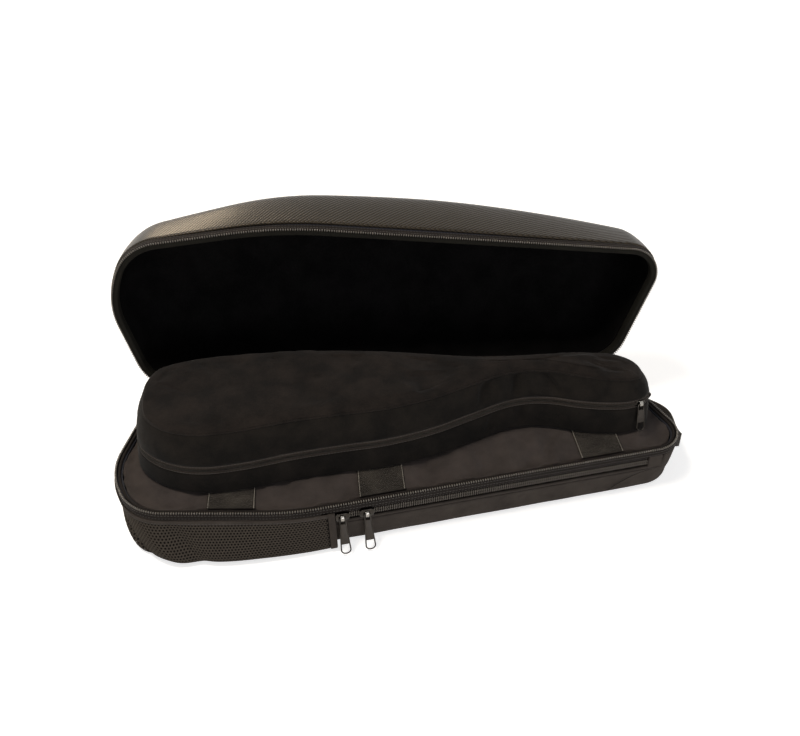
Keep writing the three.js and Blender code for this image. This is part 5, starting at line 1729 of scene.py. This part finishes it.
def strip_ground(name, corners, chance):
    """The strip's ground: a thin slab with ragged long edges and an uneven top."""
    columns, lines = STRIP_GRID
    us, vs = np.linspace(0, 1, columns), np.linspace(0, 1, lines)
    low = corners[0] + (corners[1] - corners[0]) * us[:, None]
    high = corners[3] + (corners[2] - corners[3]) * us[:, None]
    tops = low[None] + (high - low)[None] * vs[:, None, None]
    tops[:, [0, -1], 0] += chance.uniform(-STRIP_RAGGED, STRIP_RAGGED, (2, lines)).T
    rows = []
    for line in tops:
        top = [(x, y, STRIP_TOP + chance.uniform(-STRIP_UNEVEN, STRIP_UNEVEN)) for x, y in line]
        rows.append(top + [(x, y, STRIP_BOTTOM) for x, y, z in top[::-1]])
    return path_body(f"hook_strip_{name}_ground", rows, hook_tape)


def hook_places(corners, chance):
    """Feet of the hooks, in offset rows that are a little scattered."""
    lines = np.linalg.norm(corners[3] - corners[0]) / HOOK_PITCH
    places = []
    for v in range(int(lines)):
        for u in range(HOOK_COLUMNS):
            share = np.array([(u + 0.5 * (v % 2)) / HOOK_COLUMNS, v / lines])
            share += chance.uniform(-HOOK_SCATTER, HOOK_SCATTER, 2)
            low, high = (corners[i] + (corners[j] - corners[i]) * share[0] for i, j in ((0, 1), (3, 2)))
            x, y = low + (high - low) * share[1]
            places.append((x * MM, y * MM, HOOK_FOOT * MM))
    return places


def make_hook_strips():
    chance = np.random.default_rng(5)
    for name, share in STRIPS.items():
        ground = strip_ground(name, np.array(strip_corners(share)), chance)
        settle(ground, "base", "hook_tape", f"hook_strip_{name}")
        mesh = bpy.data.meshes.new("ground")
        mesh.from_pydata(hook_places(np.array(strip_corners(share, HOOK_MARGIN)), chance), [], [])
        host = bpy.data.objects.new("ground", mesh)
        bpy.context.scene.collection.objects.link(host)
        hooks = plain(host, f"hook_strip_{name}_hooks", GROUND_TREE, Piece=HOOK, Lean=HOOK_LEAN, Finish=coil)
        settle(hooks, "base", "hook_tape")
        edge = np.array(strip_corners(share, STRIP_SEAM_MARGIN))
        line = np.column_stack([np.vstack([edge, edge[:1]]), np.full(5, STRIP_SEAM_HEIGHT)])
        lines = [(np.linspace(line[k], line[k + 1], 3), (0, 0, -1), False) for k in (1, 3)]
        seams = repeat(f"hook_strip_{name}_stitches", lines, COARSE_STITCH, STRIP_SEAM_PITCH,
                       pale_thread, STRIP_SEAM_LOOSENESS)
        settle(seams, "base", "hook_tape")


def relaxed(piece, held, growth, pressure, reach, frames=18):
    """Lets a piece of cloth settle: held points stay, the rest may move by reach millimetres at most."""
    mesh = piece.data
    start = np.array([v.co for v in mesh.vertices])
    group = piece.vertex_groups.new(name="held")
    for weight in sorted(set(np.round(held, 2))):
        if weight > 0:
            group.add(np.flatnonzero(np.round(held, 2) == weight).tolist(), float(weight), "REPLACE")
    cloth = piece.modifiers.new("cloth", "CLOTH")
    settings = cloth.settings
    settings.quality = 5
    settings.mass = 0.25
    settings.tension_stiffness = settings.compression_stiffness = 18
    settings.shear_stiffness = 8
    settings.bending_stiffness = 0.6
    settings.shrink_min = -growth
    settings.vertex_group_mass = "held"
    settings.use_pressure = pressure > 0
    settings.uniform_pressure_force = pressure
    settings.effector_weights.gravity = 0
    cloth.collision_settings.use_collision = False
    cloth.point_cache.frame_start, cloth.point_cache.frame_end = 1, frames
    scene = bpy.context.scene
    for step in range(1, frames + 1):
        scene.frame_set(step)
    shown = piece.evaluated_get(bpy.context.evaluated_depsgraph_get())
    end = np.array([v.co for v in shown.data.vertices])
    piece.modifiers.remove(cloth)
    piece.vertex_groups.remove(group)
    scene.frame_set(1)
    moved = end - start
    size = np.linalg.norm(moved, axis=1)
    limit = np.maximum(np.broadcast_to(np.asarray(reach, float) * MM, size.shape), 1e-9)
    scale = limit * np.tanh(size / limit) / np.maximum(size, 1e-12)
    return start + moved * scale[:, None]


PUCKER_LENGTH = 30
PUCKER_DEPTH = 2.6
# Inset and drop under the top of each ring of the panel, from its bottom up
PANEL_RINGS = [(0, PANEL_THICKNESS), (0, 3.4), (1, 1.6), (3, 0.6)]
PANEL_MESH = 5
# Cloth below this drop is sewn down, and above it the cloth may move so far
PANEL_LOOSE = 2.6
PANEL_REACH = 4.2
# Nearer than this to the pouch's outline, the panel counts as under the pouch
POUCH_SHADE = 4
UNDER_POUCH_REACH = 1.3
# By a strip the cloth may move this far, and more with each millimetre away from it
STRIP_REACH = 0.5
STRIP_REACH_GAIN = 0.16
STRIP_REACH_RUN = 40
# A strip holds the cloth down to this depth under the panel's top
STRIP_DROP = 6


def panel_reach(points):
    """How far each point of the panel may move, and how firmly it is held, from 0 to 1."""
    held = (points[:, 2] < PANEL_TOP - PANEL_LOOSE).astype(float)
    reach = np.full(len(points), PANEL_REACH)
    for share in STRIPS.values():
        off = np.abs(points[:, 0] - share * CASE_LENGTH) - STRIP_WIDTH / 2
        held = np.maximum(held, (off < 0) * (points[:, 2] > PANEL_TOP - STRIP_DROP))
        reach = np.minimum(reach, STRIP_REACH + np.clip(off, 0, STRIP_REACH_RUN) * STRIP_REACH_GAIN)
    under = pouch_distance(points[:, :2]) < POUCH_SHADE
    return np.where(under, np.minimum(reach, UNDER_POUCH_REACH), reach), held


def make_panel():
    """Padded panel: its cloth is held at the edge and under the hook strips, and puckers in between."""
    rows = [plan_ring(PANEL_INSET + inset, PANEL_TOP - drop) for inset, drop in PANEL_RINGS]
    block = ring_body("padded_panel", rows, panel_cloth)
    remesh = block.modifiers.new("even", "REMESH")
    remesh.mode = "VOXEL"
    remesh.voxel_size = PANEL_MESH * MM
    bpy.context.view_layer.update()
    mesh = bpy.data.meshes.new_from_object(block.evaluated_get(bpy.context.evaluated_depsgraph_get()))
    bpy.data.objects.remove(block)
    mesh.materials.clear()
    mesh.materials.append(panel_cloth)
    piece = bpy.data.objects.new("padded_panel", mesh)
    mesh.name = "padded_panel"
    bpy.context.scene.collection.objects.link(piece)
    points = np.array([v.co for v in mesh.vertices]) / MM
    reach, held = panel_reach(points)
    places = relaxed(piece, held, 0.07, 1.6, reach)
    # Puckers where the cloth is loose between the strips and the pouch
    loose = np.clip(reach / PANEL_REACH, 0, 1) * (points[:, 2] > PANEL_TOP - PANEL_LOOSE) * (held == 0)
    ridges = 1 - 2 * np.abs(ripple(points * [1, 0.45, 1], PUCKER_LENGTH))
    places[:, 2] += MM * loose * PUCKER_DEPTH * (ridges - 1)
    mesh.vertices.foreach_set("co", np.asarray(places, np.float32).ravel())
    mesh.update()
    smooth = piece.modifiers.new("smooth", "SUBSURF")
    smooth.levels = smooth.render_levels = 1
    for polygon in mesh.polygons:
        polygon.use_smooth = True
    settle(piece, "base", "dark_fabric", "base_panel")


def pouch_distance(points):
    """How far points lie outside the pouch's outline; below zero inside it."""
    away = points[:, None, :] - POUCH_POINTS[None]
    nearest = np.linalg.norm(away, axis=2).argmin(axis=1)
    return np.einsum("ij,ij->i", points - POUCH_POINTS[nearest], POUCH_OUT[nearest])


# Pouch zip and folds

ZIP_FIRST = POUCH_COLUMNS * 21 // 22
ZIP_LAST = POUCH_COLUMNS * 31 // 44
POUCH_ZIP_RUN = span(ZIP_FIRST, ZIP_LAST, POUCH_COLUMNS)
POUCH_FOLD_RUN = span(ZIP_LAST + 1, ZIP_FIRST - 1, POUCH_COLUMNS)
# Heights from the zip's middle: the tape's edges, the coil and the seam
TAPE_LEVELS = (1.7, 5.7)
POUCH_COIL_HEIGHT = 0.85
POUCH_COIL_PITCH = 1.5
POUCH_SEAM_HEIGHT = 4.6
POUCH_SEAM_PITCH = 4.0
FOLD_LEVELS = (-6.2, 6.2)


def pouch_band(name, places, levels, near, far, finish):
    """A band on the pouch's side, between heights that are measured from its zip."""
    low, high = levels
    sections = []
    section = band_section(near, far, low, high, min(0.45, (high - low) / 3))
    rings = [pouch_ring(lambda z, s, h=height: z + h, inset) for inset, height in section]
    for i in places:
        sections.append([ring[i] for ring in rings])
    return path_body(name, sections, finish)


def pouch_line(height, inset, places):
    points = pouch_ring(lambda z, s: z + height, inset)
    inner = pouch_ring(lambda z, s: z + height, inset + 1)
    return points[places], (inner - points)[places], False


def make_pouch_zip():
    for side, sign, body in (("lower", -1, "pouch"), ("upper", 1, "pouch_flap")):
        levels = sorted(sign * level for level in TAPE_LEVELS)
        tape = pouch_band(f"pouch_{side}_tape", POUCH_ZIP_RUN, levels, -0.1, 1.2, worn_tape)
        settle(tape, body, "zip_tape", f"pouch_zip_tape_{side}")
        line = pouch_line(sign * POUCH_COIL_HEIGHT, -0.1, POUCH_ZIP_RUN)
        row = repeat(f"pouch_{side}_coil", [line], POUCH_LOOP, POUCH_COIL_PITCH, fine_coil)
        settle(row, body, "zip_coil", f"pouch_zip_teeth_{side}")
        line = pouch_line(sign * POUCH_SEAM_HEIGHT, -0.25, POUCH_ZIP_RUN)
        sew(f"pouch_{side}_stitches", [line], body, "zip_tape", POUCH_SEAM_PITCH)
    fold = pouch_band("pouch_back_fold", POUCH_FOLD_RUN, FOLD_LEVELS, 0.2, 1.8, suede_painted_shade)
    place = pouch_ring(lambda z, s: z)[POUCH_FOLD_RUN[len(POUCH_FOLD_RUN) // 2]]
    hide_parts("pouch_flap_hinge")
    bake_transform(fold)


# Where the pouch slider's frame stands, the direction of its x, and where the slider sits in it
SLIDER_ORIGIN = (309.613, -18.4, 67.8)
SLIDER_ALONG = (0.97725, 0.21207, 0)
SLIDER_RUN = 9
SLIDER_OUT = -3.2
PULL_OUT = SLIDER_OUT - 2.4


def make_pouch_slider():
    middle = ZIP_HEIGHTS[0] + ZIP_SLOPE * (SLIDER_ORIGIN[0] + SLIDER_RUN - POUCH_LEFT)

    def place(points):
        seat = [SLIDER_RUN, SLIDER_OUT, middle]
        return local(np.asarray(points, float) + seat, SLIDER_ORIGIN, SLIDER_ALONG)

    def hang(points):
        seat = [SLIDER_RUN, PULL_OUT, middle]
        return local(np.asarray(points, float) + seat, SLIDER_ORIGIN, SLIDER_ALONG)

    make_slider(("pouch_slider", "pouch_slider_crown"), "pouch_slider", place, POUCH_SLIDER)
    make_pull("pouch_pull", 41, 9.6, 13, 14, hang)


HINGE_RUN = (-259.5, 240.5)
HINGE_OUT = 0.9
HINGE_HEIGHTS = (36, 44, 52, 60, 64)
# Outwards and upwards places of the bend between the two walls
HINGE_BEND = [(0.6, 66.6), (2.2, 68.3)]
HINGE_DEPTHS = (6, 10, 16, 22, 28, 34)
HINGE_HALF = 0.6
# Where the strip starts to follow the lid, and where it follows the lid alone: outwards and upwards. The
# strip is not bent to follow the lid from them.
HINGE_BLEND = [(0, 65), (4.2, 69.2)]


def make_hinge():
    """Fabric hinge: one strip of canvas that turns from the base's back wall to the lid's."""
    back = CASE_DEPTH / 2 + HINGE_OUT
    path = [(back, height) for height in HINGE_HEIGHTS]
    path += [(back + out, height) for out, height in HINGE_BEND]
    path += [tuple(opened([(0, back, depth)])[0][1:]) for depth in HINGE_DEPTHS]
    rows = np.array([[(x, y, z) for y, z in path] for x in np.linspace(*HINGE_RUN, 60)])
    along = np.gradient(rows, axis=1)
    normal = np.stack([np.zeros(rows.shape[:2]), along[..., 2], -along[..., 1]], axis=-1)
    normal /= np.linalg.norm(normal, axis=2)[..., None]
    closed = np.concatenate([rows + HINGE_HALF * normal, (rows - HINGE_HALF * normal)[:, ::-1]], axis=1)
    piece = path_body("back_hinge_cloth", closed, canvas)
    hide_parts("hinge_strip_base", "hinge_strip_lid")
    start, end = ((0, (back + out) * MM, height * MM) for out, height in HINGE_BLEND)
    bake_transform(piece)
    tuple(start)
    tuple(end)


make_tray()
make_tray_lining()
make_facing()
make_rim()
make_piping()
make_main_zip()
make_pocket_zip()
make_dart()
make_front_sliders()
make_pocket()
make_handle()
make_hook_strips()
make_panel()
make_hinge()
make_lid()
make_pouch_lower()
make_pouch_upper()
make_pouch_zip()
make_pouch_slider()
make_loop()

for piece in SAMPLES:
    bpy.data.objects.remove(piece)

# CAD nodes that stay in sight or inside

KEPT = {"base_bottom_board": board, "base_upper_wall": foam, "base_front_stay": foam}
for name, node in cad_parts.items():
    finish = KEPT.get(name, nickel if "slider" in name or "pull" in name else canvas)
    node.data.materials.clear()
    node.data.materials.append(finish)

# Studio


FLOOR_REACH = 6
FLOOR_PATCH = 400
# How strongly the card glows for the camera, near the case and far from the lamps, and where that changes
GLOW = (0.65, 0.84)
GLOW_CHANGE = (0.9, 3)
WORLD_LIGHT = 0.2
# Places, aims, widths, watts and colours of the lamps
LAMPS = {
    "key": ((-0.9, -0.1, 2.5), (0, 0.0, 0.1), 0.8, 33, "#fff6ea"),
    "fill": ((0.9, -2.4, 0.9), (0, 0.05, 0.1), 1.3, 20, "#f8f8ff"),
    # Warm light from behind on the left, for the gloss on the lid
    "back": ((-1.0, 1.95, 1.25), (-0.25, 0.2, 0.3), 0.7, 14, "#ffe9c8"),
}


def seen_rays(tree):
    """1 for the rays of the camera, of gloss and of clear things, 0 for the others."""
    rays = add(tree, "ShaderNodeLightPath")
    seen = rays.outputs["Is Camera Ray"]
    for kind in ("Is Glossy Ray", "Is Transmission Ray"):
        seen = add(tree, "ShaderNodeMath", {0: seen, 1: rays.outputs[kind]}, operation="MAXIMUM").outputs[0]
    return seen


def make_floor():
    """Pale matt card under the case. It looks near white and keeps the case's shadow."""
    mesh = bpy.data.meshes.new("floor")
    corners = [(x * FLOOR_REACH, y * FLOOR_REACH, 0) for x, y in ((-1, -1), (1, -1), (1, 1), (-1, 1))]
    mesh.from_pydata(corners, [], [(0, 1, 2, 3)])
    floor = bpy.data.objects.new("floor", mesh)
    bpy.context.scene.collection.objects.link(floor)
    card, tree, shader = new_finish("pale_card", Roughness=0.9)
    place = add(tree, "ShaderNodeTexCoord").outputs["Object"]
    colour_by(tree, shader, cloud(tree, place, FLOOR_PATCH), "#efeeec", "#f5f4f2")
    # Far from the lamps the card would turn grey, so it glows more there.
    away = add(tree, "ShaderNodeVectorMath", {0: place}, operation="LENGTH").outputs["Value"]
    share = add(tree, "ShaderNodeMapRange", {
        "Value": away, "From Min": GLOW_CHANGE[0], "From Max": GLOW_CHANGE[1],
        "To Min": GLOW[0], "To Max": GLOW[1]}).outputs[0]
    glow = add(tree, "ShaderNodeMath", {0: seen_rays(tree), 1: share}, operation="MULTIPLY").outputs[0]
    pale = add(tree, "ShaderNodeEmission", {"Color": linear("#ffffff"), "Strength": glow})
    lit = add(tree, "ShaderNodeAddShader", {0: shader.outputs[0], 1: pale.outputs[0]})
    tree.links.new(lit.outputs[0], tree.nodes["Material Output"].inputs["Surface"])
    mesh.materials.append(card)


def make_world():
    """Soft white light all round, and a full white background."""
    world = bpy.data.worlds.new("studio")
    bpy.context.scene.world = world
    world.use_nodes = True
    tree = world.node_tree
    soft = tree.nodes["Background"]
    soft.inputs["Color"].default_value = linear("#ffffff")
    soft.inputs["Strength"].default_value = WORLD_LIGHT
    white = add(tree, "ShaderNodeBackground", {"Color": linear("#ffffff"), "Strength": 1.0})
    mixed = add(tree, "ShaderNodeMixShader", {0: seen_rays(tree), 1: soft.outputs[0], 2: white.outputs[0]})
    tree.links.new(mixed.outputs[0], tree.nodes["World Output"].inputs["Surface"])


make_floor()
make_world()
for name, (place, target, width, strength, colour) in LAMPS.items():
    make_lamp(name, place, target, width, strength, colour)
bpy.context.scene.view_settings.view_transform = "Standard"
